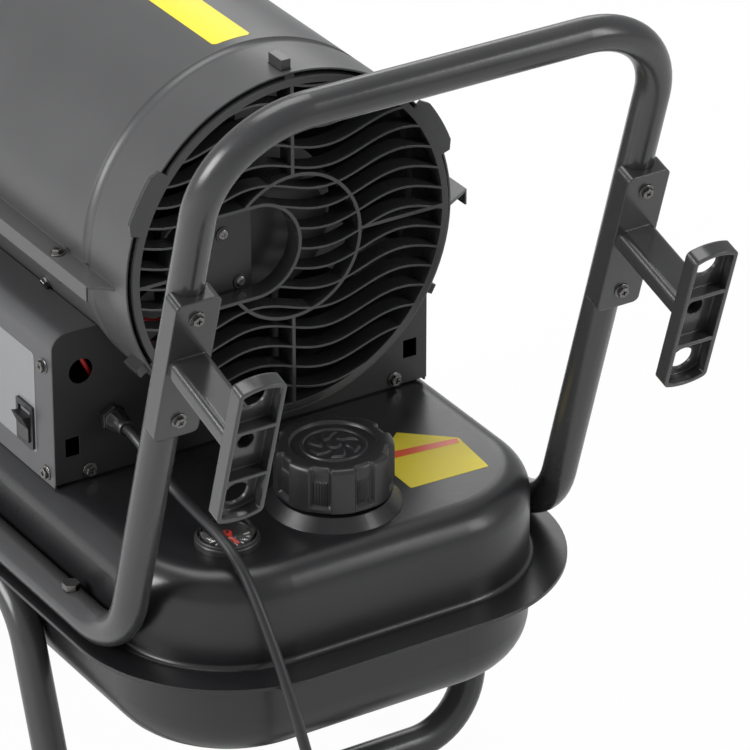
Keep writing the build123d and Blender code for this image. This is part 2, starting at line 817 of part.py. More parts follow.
pivot_y = panel_y + rocker_pivot_depth
rocker_plane = Plane(origin=(switch_x, pivot_y, switch_z), x_dir=(0, 0, 1), z_dir=(1, 0, 0))
high_face = rocker_face + rocker_half_height * tan(radians(2 * rocker_tilt))
with BuildPart() as switch_rocker:
    with BuildSketch(rocker_plane):
        with BuildLine():
            Polyline(
                (-rocker_half_height, rocker_face + rocker_half_height * tan(radians(rocker_tilt))),
                (0, rocker_face),
                (rocker_half_height, rocker_face + rocker_half_height * tan(radians(rocker_tilt))),
                (rocker_half_height * 0.6, -rocker_back),
                (-rocker_half_height * 0.6, -rocker_back),
                close=True,
            )
        make_face()
    extrude(amount=switch_opening_width / 2 - rocker_side_gap, both=True)
    with Locations((switch_x, pivot_y, switch_z)):
        Cylinder(rocker_pin, switch_opening_width + 2, rotation=(0, 90, 0))
switch_rocker.part = switch_rocker.part.rotate(Axis((switch_x, pivot_y, switch_z), (1, 0, 0)), rocker_tilt)
keep(switch_rocker, "switch_rocker")

# ------------------------------------------------------------------ cord gland, cord, coil and plug
gland_length = gland_nut + gland_dome
gland_face_x = housing_rear_x + gland_length
with BuildPart() as cord_gland:
    with BuildSketch(at_x(housing_rear_x, gland_y, gland_z)):
        RegularPolygon(gland_hex, 6)
    extrude(amount=gland_nut)
    with BuildSketch(at_x(housing_rear_x + gland_nut, gland_y, gland_z)):
        Circle(gland_hex * 0.86)
    with BuildSketch(at_x(gland_face_x, gland_y, gland_z)):
        Circle(cord_radius + gland_lip)
    loft()
    fillet(cord_gland.faces().sort_by(Axis.X)[-1].edges(), gland_lip / 2)
    with BuildSketch(at_x(housing_rear_x - gland_inside, gland_y, gland_z)):
        Circle(gland_thread)
    extrude(amount=gland_inside)
    with BuildSketch(at_x(housing_rear_x - housing_sheet, gland_y, gland_z)):
        RegularPolygon(gland_hex, 6)
        Circle(gland_thread, mode=Mode.SUBTRACT)
    extrude(amount=-gland_nut / 2)
keep(cord_gland, "cord_gland")

# The free cord's route, points chosen by hand: over the tank's top and past the gauge, down behind the
# tank and onto the floor, where the coil takes it up.
coil_entry_x = coil_centre_x + coil_outer
cord_route = [
    (gland_face_x, gland_y, gland_z),
    (gland_face_x + 12.0, gland_y, gland_z),
    (146.0, -93.0, 281.0),
    (166.0, -90.5, 273.5),
    (192.0, -92.5, 272.8),
    (224.0, -94.0, 272.3),
    (249.0, -93.5, 262.0),
    (270.0, -91.5, 237.0),
    (287.0, -87.5, 203.0),
    (299.5, -82.5, 166.0),
    (309.0, -77.0, 127.0),
    (313.5, -73.0, 92.0),
    (313.0, -71.0, 62.0),
    (308.0, -66.0, 34.0),
    (296.0, -55.0, 12.0),
    (279.5, -42.0, cord_radius),
    (coil_entry_x, -24.0, cord_radius),
    (coil_entry_x, -cord_diameter, cord_radius),
]


def turn_radii(points):
    """One bend radius for each corner, as large as its two runs allow."""
    radii = []
    for before, corner, after in zip(points, points[1:], points[2:]):
        run_in = Vector(*corner) - Vector(*before)
        run_out = Vector(*after) - Vector(*corner)
        half_turn = radians(run_in.get_angle(run_out)) / 2
        radii.append(0.45 * min(run_in.length, run_out.length) / tan(half_turn))
    return radii


cord_radii = turn_radii(cord_route)
print("cord radii", [round(r, 1) for r in cord_radii])
with BuildPart() as power_cord:
    with BuildLine() as cord_line:
        FilletPolyline(*cord_route, radius=cord_radii)
    with BuildSketch(Plane(origin=cord_line.line @ 0, z_dir=cord_line.line % 0)):
        Circle(cord_radius)
    sweep()
cord_section = pi * cord_radius**2
cord_length = cord_line.wires()[0].length
print("cord length", round(cord_length, 1), "volume by length", round(cord_section * cord_length),
      "volume", round(power_cord.part.volume))
keep(power_cord, "power_cord")

# The put-away coil: half turns that draw in on the floor, climb one layer and go out again on top. The
# last half turn rises to the plug, which lies beside the coil.
plug_z = plug_radius
first_layer_z = cord_radius
second_layer_z = cord_radius + coil_step
coil_places = [(coil_outer, first_layer_z)]
side = 1
for turn in range(coil_half_turns):
    reach = coil_outer - coil_step * ((turn + 1) // 2)
    side = -side
    coil_places.append((side * reach, first_layer_z))
inner_reach = coil_outer - coil_step * (coil_half_turns // 2)
for turn in range(coil_half_turns + 1):
    reach = inner_reach + coil_step * ((turn + 1) // 2)
    side = -side
    coil_places.append((side * reach, second_layer_z))
side = -side
coil_places.append((side * (coil_outer + plug_aside), plug_z))

coil_points = [Vector(coil_centre_x + x, coil_centre_y, z) for x, z in coil_places]
with BuildPart() as cord_coil:
    with BuildLine() as coil_line:
        Line(coil_points[0] - Vector(0, cord_diameter, 0), coil_points[0])
        for turn, (start, end) in enumerate(zip(coil_points, coil_points[1:])):
            bulge = Vector(0, (1 if turn % 2 == 0 else -1) * (end - start).length / 2, 0)
            ThreePointArc(start, (start + end) / 2 + bulge, end)
        Line(coil_points[-1], coil_points[-1] + Vector(0, cord_diameter, 0))
    with BuildSketch(Plane(origin=coil_line.line @ 0, z_dir=(0, 1, 0))):
        Circle(cord_radius)
    sweep()
coil_path = coil_line.wires()[0]
coil_length = coil_path.length
samples = [coil_path @ (i / 600) for i in range(601)]
skip = int(600 * 2.5 * pi * cord_diameter / coil_length)
least = min((p - q).length for i, p in enumerate(samples) for q in samples[i + skip:])
print("coil length", round(coil_length, 1), "least gap to itself", round(least - cord_diameter, 2),
      "volume by length", round(cord_section * coil_length), "volume", round(cord_coil.part.volume))
keep(cord_coil, "cord_coil")

plug_start = coil_points[-1] + Vector(0, cord_diameter, 0)
with BuildPart() as power_plug:
    with BuildSketch(Plane(origin=plug_start, x_dir=(1, 0, 0), z_dir=(0, 1, 0))):
        Circle(cord_radius + 1.5)
    with BuildSketch(Plane(origin=plug_start + Vector(0, plug_relief, 0), x_dir=(1, 0, 0),
                           z_dir=(0, 1, 0))):
        Circle(cord_radius * 2)
    loft()
    with BuildSketch(Plane(origin=plug_start + Vector(0, plug_relief, 0), x_dir=(1, 0, 0),
                           z_dir=(0, 1, 0))):
        Circle(plug_radius)
    extrude(amount=plug_length)
    fillet(power_plug.edges().filter_by(GeomType.CIRCLE).filter_by(
        lambda e: abs(e.radius - plug_radius) < 0.01), 2.5)
    with BuildSketch(Plane(origin=plug_start + Vector(0, plug_relief + plug_length, 0),
                           x_dir=(1, 0, 0), z_dir=(0, 1, 0))):
        with GridLocations(plug_pin_spacing, 1, 2, 1):
            Circle(plug_pin_radius)
    extrude(amount=plug_pin_length)
keep(power_plug, "power_plug")

# ------------------------------------------------------------------ electrics inside the housing
floor_z = tank_top_z + housing_sheet
transformer_length = 70.0
transformer_width = 44.0
transformer_y = 30.0
transformer_end_gap = 23.6
under_barrel_gap = 6.8
transformer_x = housing_front_x + housing_sheet + transformer_end_gap + transformer_length / 2
transformer_height = barrel_axis_z - barrel_radius - under_barrel_gap - floor_z
with BuildPart() as ignition_transformer:
    with Locations((transformer_x, transformer_y, floor_z + transformer_height / 2)):
        Box(transformer_length, transformer_width, transformer_height)
    fillet(ignition_transformer.edges().filter_by(Axis.Z), 3)
keep(ignition_transformer, "ignition_transformer")

board_length = 100.0
board_width = 50.0
board_end_gap = 44.0
board_inset = 56.3
post_height = 8.0
board_sheet = 1.6
relay_height = 14.0
board_x = housing_rear_x - housing_sheet - board_end_gap - board_length / 2
board_y = board_inset - housing_half_width
with BuildPart() as control_board:
    with Locations((board_x, board_y, floor_z + post_height + board_sheet / 2)):
        Box(board_length, board_width, board_sheet)
    with Locations(*[(board_x + x, board_y + y, floor_z + post_height / 2)
                     for x in (6 - board_length / 2, board_length / 2 - 6)
                     for y in (5 - board_width / 2, board_width / 2 - 5)]):
        Cylinder(3, post_height)
    with Locations(*[(board_x + x, board_y - 5, floor_z + post_height + board_sheet + relay_height / 2 - 0.4)
                     for x in (-25, 10)]):
        Box(20, 26, relay_height + 0.8)
    with Locations((board_x + 34, board_y + 2, floor_z + post_height + board_sheet + relay_height / 2 - 0.4)):
        Cylinder(8, relay_height + 0.8)
keep(control_board, "control_board")

lead_radius = 1.6
board_top_z = floor_z + post_height + board_sheet


def beside_barrel(x, gap, angle):
    """Point outside the barrel on the panel's side: its gap to the wall and its angle below the axis."""
    reach = barrel_radius + gap
    return (x, -reach * cos(radians(angle)), barrel_axis_z - reach * sin(radians(angle)))


with BuildPart() as motor_wire:
    with BuildLine() as wire_line:
        FilletPolyline((board_x + 46, board_y + 16, board_top_z + lead_radius), (board_x + 62, board_y + 6, 284),
                       beside_barrel(board_x + 80, 29.7, 44.4), beside_barrel(board_x + 82, 27.7, 34.8),
                       beside_barrel(board_x + 68, 21.9, 29.5), beside_barrel(board_x + 40, 9.5, 30.6),
                       beside_barrel(board_x + 14, 8.4, 36.5), beside_barrel(board_x - 2, 30.5, 51.1),
                       (board_x - 10, board_y - 4, board_top_z + lead_radius), radius=9)
    with BuildSketch(Plane(origin=wire_line.line @ 0, z_dir=wire_line.line % 0)):
        Circle(lead_radius)
    sweep()
keep(motor_wire, "motor_wire")

# ------------------------------------------------------------------ tank
def tank_half(deep_z, edge_radius, upper):
    """One pressed half of the tank, open at the split, with its flange and the flange's root bend."""
    end = -1 if upper else 0
    with BuildPart() as half:
        with BuildSketch(Plane.XY.offset(tank_split_z)):
            RectangleRounded(tank_length, tank_width, tank_corner)
        extrude(amount=deep_z - tank_split_z)
        fillet(half.faces().sort_by(Axis.Z)[end].edges(), edge_radius)
        offset(amount=-tank_sheet, openings=half.faces().sort_by(Axis.Z)[-1 - end])
        with BuildSketch(Plane.XY.offset(tank_split_z)):
            RectangleRounded(tank_length + 2 * tank_flange, tank_width + 2 * tank_flange,
                             tank_corner + tank_flange)
            RectangleRounded(tank_length - tank_sheet, tank_width - tank_sheet,
                             tank_corner - tank_sheet / 2, mode=Mode.SUBTRACT)
        extrude(amount=tank_sheet if upper else -tank_sheet)
        face_z = flange_top_z if upper else flange_low_z
        flange_face = half.faces().filter_by_position(Axis.Z, face_z - 0.01, face_z + 0.01)[0]
        fillet(flange_face.inner_wires()[0].edges(), tank_root)
        for x in bolt_places:
            for side in (-1, 1):
                with Locations((x, side * frame_half_width, tank_split_z)):
                    Cylinder(bolt_radius + bolt_hole_gap, 4 * tank_sheet, mode=Mode.SUBTRACT)
        if upper:
            with Locations((filler_x, filler_y, tank_top_z)):
                Cylinder(neck_radius, 6 * tank_sheet, mode=Mode.SUBTRACT)
            with Locations((gauge_x, gauge_y, tank_top_z)):
                Cylinder(gauge_bore, 6 * tank_sheet, mode=Mode.SUBTRACT)
            with Locations((line_x, -line_y, tank_top_z)):
                Cylinder(fuel_line_radius, 6 * tank_sheet, mode=Mode.SUBTRACT)
        else:
            with Locations((drain_x, 0, tank_bottom_z)):
                Cylinder(drain_radius, 6 * tank_sheet, mode=Mode.SUBTRACT)
    return half


tank_upper = tank_half(tank_top_z, tank_shoulder, True)
keep(tank_upper, "tank_upper")
tank_lower = tank_half(tank_bottom_z, tank_sole, False)
keep(tank_lower, "tank_lower")

with BuildPart() as drain_plug:
    with BuildSketch(Plane.XY.offset(tank_bottom_z)):
        with Locations((drain_x, 0)):
            RegularPolygon(1.7 * drain_radius, 6)
    extrude(amount=-drain_radius)
    with BuildSketch(Plane.XY.offset(tank_bottom_z)):
        with Locations((drain_x, 0)):
            Circle(drain_radius)
    extrude(amount=drain_radius)
keep(drain_plug, "drain_plug")

# ------------------------------------------------------------------ filler neck, seal and cap
cap_low_z = cap_top_z - cap_height
cap_ceiling_z = cap_top_z - cap_crown
with BuildPart() as filler_neck:
    with BuildSketch(Plane.XY.offset(tank_top_z)):
        with Locations((filler_x, filler_y)):
            Circle(collar_radius)
    with BuildSketch(Plane.XY.offset(tank_top_z + collar_height)):
        with Locations((filler_x, filler_y)):
            Circle(collar_top_radius)
    loft()
    with BuildSketch(Plane.XY.offset(tank_top_z - tank_sheet)):
        with Locations((filler_x, filler_y)):
            Circle(neck_radius)
    extrude(amount=neck_top_z - tank_top_z + tank_sheet)
    with BuildSketch(Plane.XY.offset(tank_top_z - 2 * tank_sheet)):
        with Locations((filler_x, filler_y)):
            Circle(neck_radius - neck_wall)
    extrude(amount=neck_top_z - tank_top_z + 3 * tank_sheet, mode=Mode.SUBTRACT)
keep(filler_neck, "filler_neck")

with BuildPart() as cap_seal:
    with BuildSketch(Plane.XY.offset(neck_top_z + seal_gap)):
        with Locations((filler_x, filler_y)):
            Circle(neck_radius + cap_skirt_gap - seal_gap)
            Circle(neck_radius - neck_wall, mode=Mode.SUBTRACT)
    extrude(amount=cap_ceiling_z - neck_top_z - 2 * seal_gap)
keep(cap_seal, "cap_seal")

with BuildPart() as fuel_cap:
    with BuildSketch(Plane.XY.offset(cap_low_z)):
        with Locations((filler_x, filler_y)):
            Circle(cap_radius)
            with PolarLocations(cap_radius + cap_flute_radius - cap_flute_depth, cap_flutes,
                                start_angle=180 / cap_flutes):
                Circle(cap_flute_radius, mode=Mode.SUBTRACT)
    extrude(amount=cap_height)
    fillet(fuel_cap.faces().sort_by(Axis.Z)[-1].edges(), 2.5)
    with BuildSketch(Plane.XY.offset(cap_top_z)):
        with Locations((filler_x, filler_y)):
            Circle(cap_recess_radius)
    extrude(amount=-cap_recess, mode=Mode.SUBTRACT)
    with BuildSketch(Plane.XY.offset(cap_top_z - cap_recess)):
        with Locations((filler_x, filler_y)):
            Circle(cap_recess_radius * 0.62)
            Circle(cap_recess_radius * 0.55, mode=Mode.SUBTRACT)
            Circle(cap_recess_radius * 0.2)
    extrude(amount=cap_recess * 0.6)
    with BuildSketch(Plane.XY.offset(cap_low_z)):
        with Locations((filler_x, filler_y)):
            Circle(neck_radius + cap_skirt_gap)
    extrude(amount=cap_ceiling_z - cap_low_z, mode=Mode.SUBTRACT)
keep(fuel_cap, "fuel_cap")

# ------------------------------------------------------------------ fuel gauge
dial_z = tank_top_z + gauge_ring_height - dial_sunk
fork_half_gap = arm_rod + 1.0
fork_sheet = 2.5
with BuildPart() as gauge_body:
    with BuildSketch(Plane.XY.offset(gauge_body_low_z)):
        with Locations((gauge_x, gauge_y)):
            Circle(gauge_bore)
    extrude(amount=dial_z - gauge_body_low_z)
    with BuildSketch(Plane.XY.offset(tank_top_z)):
        with Locations((gauge_x, gauge_y)):
            Circle(gauge_radius)
            Circle(gauge_bore, mode=Mode.SUBTRACT)
    extrude(amount=gauge_ring_height)
    fillet(gauge_body.faces().sort_by(Axis.Z)[-1].outer_wire().edges(), gauge_ring_round)
    with BuildSketch(Plane.XY.offset(dial_z)):
        with Locations((gauge_x, gauge_y)):
            Circle(needle_pin)
    extrude(amount=2.2)
    with Locations(*[(gauge_x, gauge_y + side * (fork_half_gap + fork_sheet / 2),
                      (gauge_body_low_z + gauge_fork_low_z) / 2) for side in (-1, 1)]):
        Box(8, fork_sheet, gauge_body_low_z - gauge_fork_low_z)
    with Locations((gauge_x, gauge_y, arm_pivot_z)):
        Cylinder(arm_pivot_pin + running_clearance, 4 * (fork_half_gap + fork_sheet),
                 rotation=(90, 0, 0), mode=Mode.SUBTRACT)
keep(gauge_body, "gauge_body")

with BuildPart() as gauge_lens:
    with BuildSketch(Plane.XY.offset(tank_top_z + gauge_ring_height)):
        with Locations((gauge_x, gauge_y)):
            Circle(lens_radius)
    extrude(amount=lens_height)
    fillet(gauge_lens.faces().sort_by(Axis.Z)[-1].edges(), lens_round)
    offset(amount=-lens_wall, openings=gauge_lens.faces().sort_by(Axis.Z)[0])
keep(gauge_lens, "gauge_lens")

with BuildPart() as gauge_needle:
    with BuildSketch(Plane.XY.offset(dial_z + 0.4)):
        with Locations((gauge_x, gauge_y)):
            Circle(3)
        with Locations((gauge_x + needle_length / 2, gauge_y)):
            Rectangle(needle_length, 2)
        with Locations((gauge_x, gauge_y)):
            Circle(needle_pin + running_clearance, mode=Mode.SUBTRACT)
    extrude(amount=1.0)
keep(gauge_needle, "gauge_needle")

arm_way = Vector(-cos(radians(arm_rest_angle)), 0, -sin(radians(arm_rest_angle)))
arm_pivot = Vector(gauge_x, gauge_y, arm_pivot_z)
with BuildPart() as float_arm:
    with BuildSketch(Plane(origin=arm_pivot, z_dir=arm_way)):
        Circle(arm_rod)
    extrude(amount=arm_length)
    with BuildSketch(Plane(origin=arm_pivot - Vector(0, fork_half_gap + fork_sheet, 0),
                           z_dir=(0, 1, 0))):
        Circle(arm_pivot_pin)
    extrude(amount=2 * (fork_half_gap + fork_sheet))
    with BuildSketch(Plane(origin=arm_pivot + arm_way * arm_length - Vector(0, float_length / 2, 0),
                           z_dir=(0, 1, 0))):
        Circle(float_radius)
    extrude(amount=float_length)
keep(float_arm, "float_arm")

# ------------------------------------------------------------------ fuel line, filter and air line
with BuildPart() as fuel_line:
    with BuildSketch(Plane.XY.offset(tank_bottom_z + pickup_gap)):
        with Locations((line_x, -line_y)):
            Circle(fuel_line_radius)
    extrude(amount=barrel_axis_z - nozzle_block / 2 - tank_bottom_z - pickup_gap)
keep(fuel_line, "fuel_line")

with BuildPart() as fuel_filter:
    with BuildSketch(Plane.XY.offset(tank_bottom_z + 2 * tank_sheet)):
        with Locations((line_x, -line_y)):
            Circle(filter_radius)
    extrude(amount=filter_length)
    fillet(fuel_filter.edges().filter_by(GeomType.CIRCLE), 2)
    with BuildSketch(Plane.XY.offset(tank_bottom_z + pickup_gap)):
        with Locations((line_x, -line_y)):
            Circle(fuel_line_radius)
    extrude(amount=filter_length, mode=Mode.SUBTRACT)
keep(fuel_filter, "fuel_filter")

air_low_z = barrel_axis_z - barrel_inner + air_line_radius + 3.0
air_top_z = barrel_axis_z - pump_radius - 2 * air_line_radius
with BuildPart() as air_line:
    with BuildLine() as air_path:
        FilletPolyline((pump_x + pump_length / 2, line_y, air_top_z),
                       (pump_x + pump_length / 2, line_y, air_low_z),
                       (line_x, line_y, air_low_z),
                       (line_x, line_y, barrel_axis_z - nozzle_block / 2), radius=16)
    with BuildSketch(Plane(origin=air_path.line @ 0, z_dir=air_path.line % 0)):
        Circle(air_line_radius)
    sweep()
keep(air_line, "air_line")

# ------------------------------------------------------------------ frame tubes
def bent_tube(points, radii, holes):
    """Round tube swept along a bent path, with its holes: (plane, radius, depth) each."""
    with BuildPart() as tube:
        with BuildLine() as path:
            FilletPolyline(*points, radius=radii)
        with BuildSketch(Plane(origin=path.line @ 0, z_dir=path.line % 0)):
            Circle(tube_radius)
            Circle(tube_radius - tube_wall, mode=Mode.SUBTRACT)
        sweep()
        for plane, radius, depth in holes:
            with Locations(plane):
                Hole(radius, depth=depth)
    return tube


def hook_plane(side, out, along=hook_along):
    """Plane square to the handle leg's rear: local x runs up the leg, local z points away from it."""
    return Plane(
        origin=(handle_foot_x + along * leg_sin + out * leg_cos, side * frame_half_width,
                handle_rail_z + along * leg_cos - out * leg_sin),
        x_dir=(leg_sin, 0, leg_cos), z_dir=(leg_cos, 0, -leg_sin))


def hook_screw_planes(side, out):
    """Planes of one hook's two screws, facing away from the leg."""
    return [hook_plane(side, out, hook_along + place) for place in (hook_screw_offset, -hook_screw_offset)]


def rail_bolt_planes(places, top_z):
    """Planes of the bolts through both rails, facing up."""
    return [Plane(origin=(x, side * frame_half_width, top_z), z_dir=(0, 0, 1))
            for x in places for side in (-1, 1)]


w = frame_half_width
handle_crown_z = handle_rail_z + tube_radius
stand_crown_z = stand_rail_z + tube_radius
leg_end_z = axle_z - leg_below_axle
bolt_hole = bolt_radius + bolt_hole_gap
rear_handle = bent_tube(
    [(handle_front_x, -w, handle_rail_z), (handle_foot_x, -w, handle_rail_z),
     (handle_top_x, -w, handle_top_z), (handle_top_x, w, handle_top_z),
     (handle_foot_x, w, handle_rail_z), (handle_front_x, w, handle_rail_z)],
    [handle_foot_bend, handle_top_bend, handle_top_bend, handle_foot_bend],
    [(plane, bolt_hole, 2 * tube_radius) for plane in rail_bolt_planes(bolt_places, handle_crown_z)]
    + [(plane, screw_radius, tube_radius) for side in (-1, 1)
       for plane in hook_screw_planes(side, tube_radius)])
keep(rear_handle, "rear_handle")

stand_frame = bent_tube(
    [(stand_front_x, -w, leg_end_z), (stand_front_x, -w, stand_rail_z), (stand_knee_x, -w, stand_rail_z),
     (stand_foot_x, -w, tube_radius), (stand_foot_x, w, tube_radius), (stand_knee_x, w, stand_rail_z),
     (stand_front_x, w, stand_rail_z), (stand_front_x, w, leg_end_z)],
    [stand_front_bend, stand_knee_bend, stand_foot_bend, stand_foot_bend, stand_knee_bend,
     stand_front_bend],
    [(plane, bolt_hole, 2 * tube_radius) for plane in rail_bolt_planes(bolt_places[1:], stand_crown_z)]
    + [(Plane(origin=(stand_front_x, side * (w + tube_radius), axle_z), z_dir=(0, side, 0)),
        axle_radius + axle_hole_gap, 2 * tube_radius) for side in (-1, 1)])
keep(stand_frame, "stand_frame")

with BuildPart() as tube_plugs:
    for side in (-1, 1):
        with BuildSketch(at_x(handle_front_x, side * w, handle_rail_z)):
            Circle(tube_radius)
        extrude(amount=-2)
        with BuildSketch(at_x(handle_front_x, side * w, handle_rail_z)):
            Circle(tube_radius - tube_wall)
        extrude(amount=12)
        with BuildSketch(Plane(origin=(stand_front_x, side * w, leg_end_z), z_dir=(0, 0, 1))):
            Circle(tube_radius)
        extrude(amount=-2)
        with BuildSketch(Plane(origin=(stand_front_x, side * w, leg_end_z), z_dir=(0, 0, 1))):
            Circle(tube_radius - tube_wall)
        extrude(amount=leg_below_axle - axle_radius - 1)
keep(tube_plugs, "tube_plugs")

bolt_hex = 1.9 * bolt_radius
with BuildPart() as frame_bolts:
    for place in bolt_places:
        foot_z = flange_low_z if place == bolt_places[0] else stand_rail_z - tube_radius
        for top, foot in zip(rail_bolt_planes([place], handle_crown_z), rail_bolt_planes([place], foot_z)):
            with BuildSketch(top):
                RegularPolygon(bolt_hex, 6)
            extrude(amount=bolt_head)
            with BuildSketch(top):
                Circle(bolt_radius)
            extrude(amount=foot_z - nut_height - 1 - handle_crown_z)
            with BuildSketch(foot):
                RegularPolygon(bolt_hex, 6)
            extrude(amount=-nut_height)
keep(frame_bolts, "frame_bolts")


# ------------------------------------------------------------------ cord hooks
def plate_edges(inset=0.0):
    """Edges of the ladder plate: straight sides and crowned ends, drawn in the plate's plane."""
    half, wide = plate_length / 2 - inset, plate_width / 2 - inset
    shoulder = half - plate_crown
    return (
        Line((-shoulder, -wide), (shoulder, -wide)),
        ThreePointArc((shoulder, -wide), (half, 0), (shoulder, wide)),
        Line((shoulder, wide), (-shoulder, wide)),
        ThreePointArc((-shoulder, wide), (-half, 0), (-shoulder, -wide)),
    )


def cord_hook(side):
    """Saddle on the handle leg, wide hollow arm and ladder plate, moulded in one piece."""
    out = hook_back + arm_reach
    with BuildPart() as hook:
        with BuildSketch(hook_plane(side, hook_front)):
            RectangleRounded(hook_length, hook_width, 4)
        extrude(amount=hook_back - hook_front)
        with BuildSketch(hook_plane(side, 0).rotated((0, 90, 0))):
            Circle(tube_radius)
        extrude(amount=hook_length, both=True, mode=Mode.SUBTRACT)
        with BuildSketch(hook_plane(side, hook_back)):
            with Locations((arm_place, 0)):
                RectangleRounded(arm_thickness, arm_width, arm_corner)
        extrude(amount=arm_reach)
        with BuildSketch(hook_plane(side, out)) as plate_face:
            with BuildLine():
                plate_edges()
            make_face()
            fillet(plate_face.vertices(), plate_corner)
        extrude(amount=plate_depth)
        with BuildSketch(hook_plane(side, out + plate_floor)) as plate_recess:
            with BuildLine():
                plate_edges(plate_rim)
            make_face()
            fillet(plate_recess.vertices(), plate_corner - plate_rim)
            with Locations((plate_rib_place, 0), (-plate_rib_place, 0)):
                Rectangle(plate_rim, plate_width, mode=Mode.SUBTRACT)
        extrude(amount=plate_depth, mode=Mode.SUBTRACT)
        with BuildSketch(hook_plane(side, out)):
            with Locations((plate_hole_place, 0), (-plate_hole_place, 0)):
                Circle(8)
        extrude(amount=plate_floor, mode=Mode.SUBTRACT)
        with BuildSketch(hook_plane(side, hook_back + plate_depth)):
            with Locations((arm_place, 0)):
                Circle(arm_bore)
        extrude(amount=arm_reach + plate_depth, mode=Mode.SUBTRACT)
        with Locations(*hook_screw_planes(side, hook_back)):
            Hole(screw_radius, depth=hook_back)
    return hook


for side, name in ((-1, "cord_hook_left"), (1, "cord_hook_right")):
    keep(cord_hook(side), name)

# ------------------------------------------------------------------ screws of barrel, housing and pump
def screws(planes, shank):
    """Hex washer screws, one at each plane: head out along its normal, shank into it."""
    with BuildPart() as group:
        for plane in planes:
            with BuildSketch(plane):
                Circle(screw_head_radius)
            extrude(amount=washer_height)
            with BuildSketch(plane):
                RegularPolygon(screw_hex_radius, 6)
            extrude(amount=screw_head_height)
            with BuildSketch(plane):
                Circle(screw_radius)
            extrude(amount=-shank)
    return group


shell_screws = screws([Plane(origin=(x, side * seam_screw_y, seam_z + barrel_sheet), z_dir=(0, 0, 1))
                       for x in seam_screw_places for side in (-1, 1)] + [side_screw_plane], 3 * barrel_sheet)
keep(shell_screws, "shell_screws")
housing_screws = screws([plane for side in (-1, 1)
                         for x in (housing_rear_x - panel_screw_inset, housing_front_x + panel_screw_inset)
                         for plane in panel_screw_planes(side, x)] + foot_screw_planes, 3 * housing_sheet)
keep(housing_screws, "housing_screws")
hook_screws = screws([plane for side in (-1, 1) for plane in hook_screw_planes(side, hook_back)],
                     hook_back - tube_radius + 2 * tube_wall)
keep(hook_screws, "hook_screws")

# ------------------------------------------------------------------ axle and wheels
leg_side_y = w + tube_radius
wheel_y = leg_side_y + axle_end_gap + tyre_width / 2
wheel_outer_y = wheel_y + tyre_width / 2
cap_y = wheel_outer_y + axle_end_gap
with BuildPart() as axle:
    with Locations((stand_front_x, 0, axle_z)):
        Cylinder(axle_radius, 2 * (cap_y + cap_nut_length / 2), rotation=(90, 0, 0))
keep(axle, "axle")

with BuildPart() as axle_caps:
    for side in (-1, 1):
        with BuildSketch(Plane(origin=(stand_front_x, side * cap_y, axle_z), x_dir=(1, 0, 0),
                               z_dir=(0, side, 0))):
            Circle(cap_nut_radius)
        extrude(amount=cap_nut_length)
    fillet(axle_caps.edges().filter_by(GeomType.CIRCLE).filter_by(
        lambda e: abs(e.center().Y) > cap_y + cap_nut_length / 2), 3)
    with Locations((stand_front_x, 0, axle_z)):
        Cylinder(axle_radius, 2 * (cap_y + cap_nut_length / 2), rotation=(90, 0, 0), mode=Mode.SUBTRACT)
keep(axle_caps, "axle_caps")


def wheel_plane(side, out):
    """Plane square to the axle at a distance out from the middle of the wheel."""
    return Plane(origin=(stand_front_x, side * (wheel_y + out), axle_z), x_dir=(1, 0, 0),
                 z_dir=(0, side, 0))


rim_radius = wheel_radius - tyre_depth
for side, place in ((-1, "left"), (1, "right")):
    with BuildPart() as tyre:
        with BuildSketch(wheel_plane(side, -tyre_width / 2)):
            Circle(wheel_radius)
            Circle(rim_radius, mode=Mode.SUBTRACT)
        extrude(amount=tyre_width)
        fillet(tyre.edges().filter_by(GeomType.CIRCLE).filter_by(
            lambda e: e.radius > rim_radius + 1), tyre_depth * 0.45)
    keep(tyre, f"tyre_{place}")

    with BuildPart() as rim:
        with BuildSketch(wheel_plane(side, -tyre_width / 2 + 3)):
            Circle(rim_radius)
            Circle(rim_radius - rim_ring, mode=Mode.SUBTRACT)
        extrude(amount=tyre_width - 6)
        with BuildSketch(wheel_plane(side, -rim_web / 2)):
            Circle(rim_radius - rim_ring / 2)
            with PolarLocations(rim_radius * 0.58, 6):
                Circle(rim_radius * 0.19, mode=Mode.SUBTRACT)
        extrude(amount=rim_web)
        with BuildSketch(wheel_plane(side, -tyre_width / 2)):
            Circle(hub_radius)
        extrude(amount=tyre_width)
        with BuildSketch(wheel_plane(side, -tyre_width)):
            Circle(axle_radius + running_clearance)
        extrude(amount=2 * tyre_width, mode=Mode.SUBTRACT)
    keep(rim, f"rim_{place}")
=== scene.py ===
import bpy
import bmesh
import json
from math import asin, cos, pi, radians, sin, tan
from mathutils import Matrix, Vector


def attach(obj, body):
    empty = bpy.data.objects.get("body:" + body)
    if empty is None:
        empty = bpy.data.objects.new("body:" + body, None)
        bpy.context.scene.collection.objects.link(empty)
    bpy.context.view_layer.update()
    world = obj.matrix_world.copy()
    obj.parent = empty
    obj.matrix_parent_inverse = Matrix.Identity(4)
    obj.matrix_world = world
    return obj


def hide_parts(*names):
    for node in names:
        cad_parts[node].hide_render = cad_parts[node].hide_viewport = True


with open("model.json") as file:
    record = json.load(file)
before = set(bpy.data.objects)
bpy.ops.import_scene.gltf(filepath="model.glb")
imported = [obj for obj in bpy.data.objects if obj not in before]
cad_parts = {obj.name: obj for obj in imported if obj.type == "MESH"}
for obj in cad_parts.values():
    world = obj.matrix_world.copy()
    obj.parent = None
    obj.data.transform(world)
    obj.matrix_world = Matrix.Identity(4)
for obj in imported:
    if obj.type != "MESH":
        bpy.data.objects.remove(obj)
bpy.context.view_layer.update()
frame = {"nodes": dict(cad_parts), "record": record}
nodes = frame["nodes"]

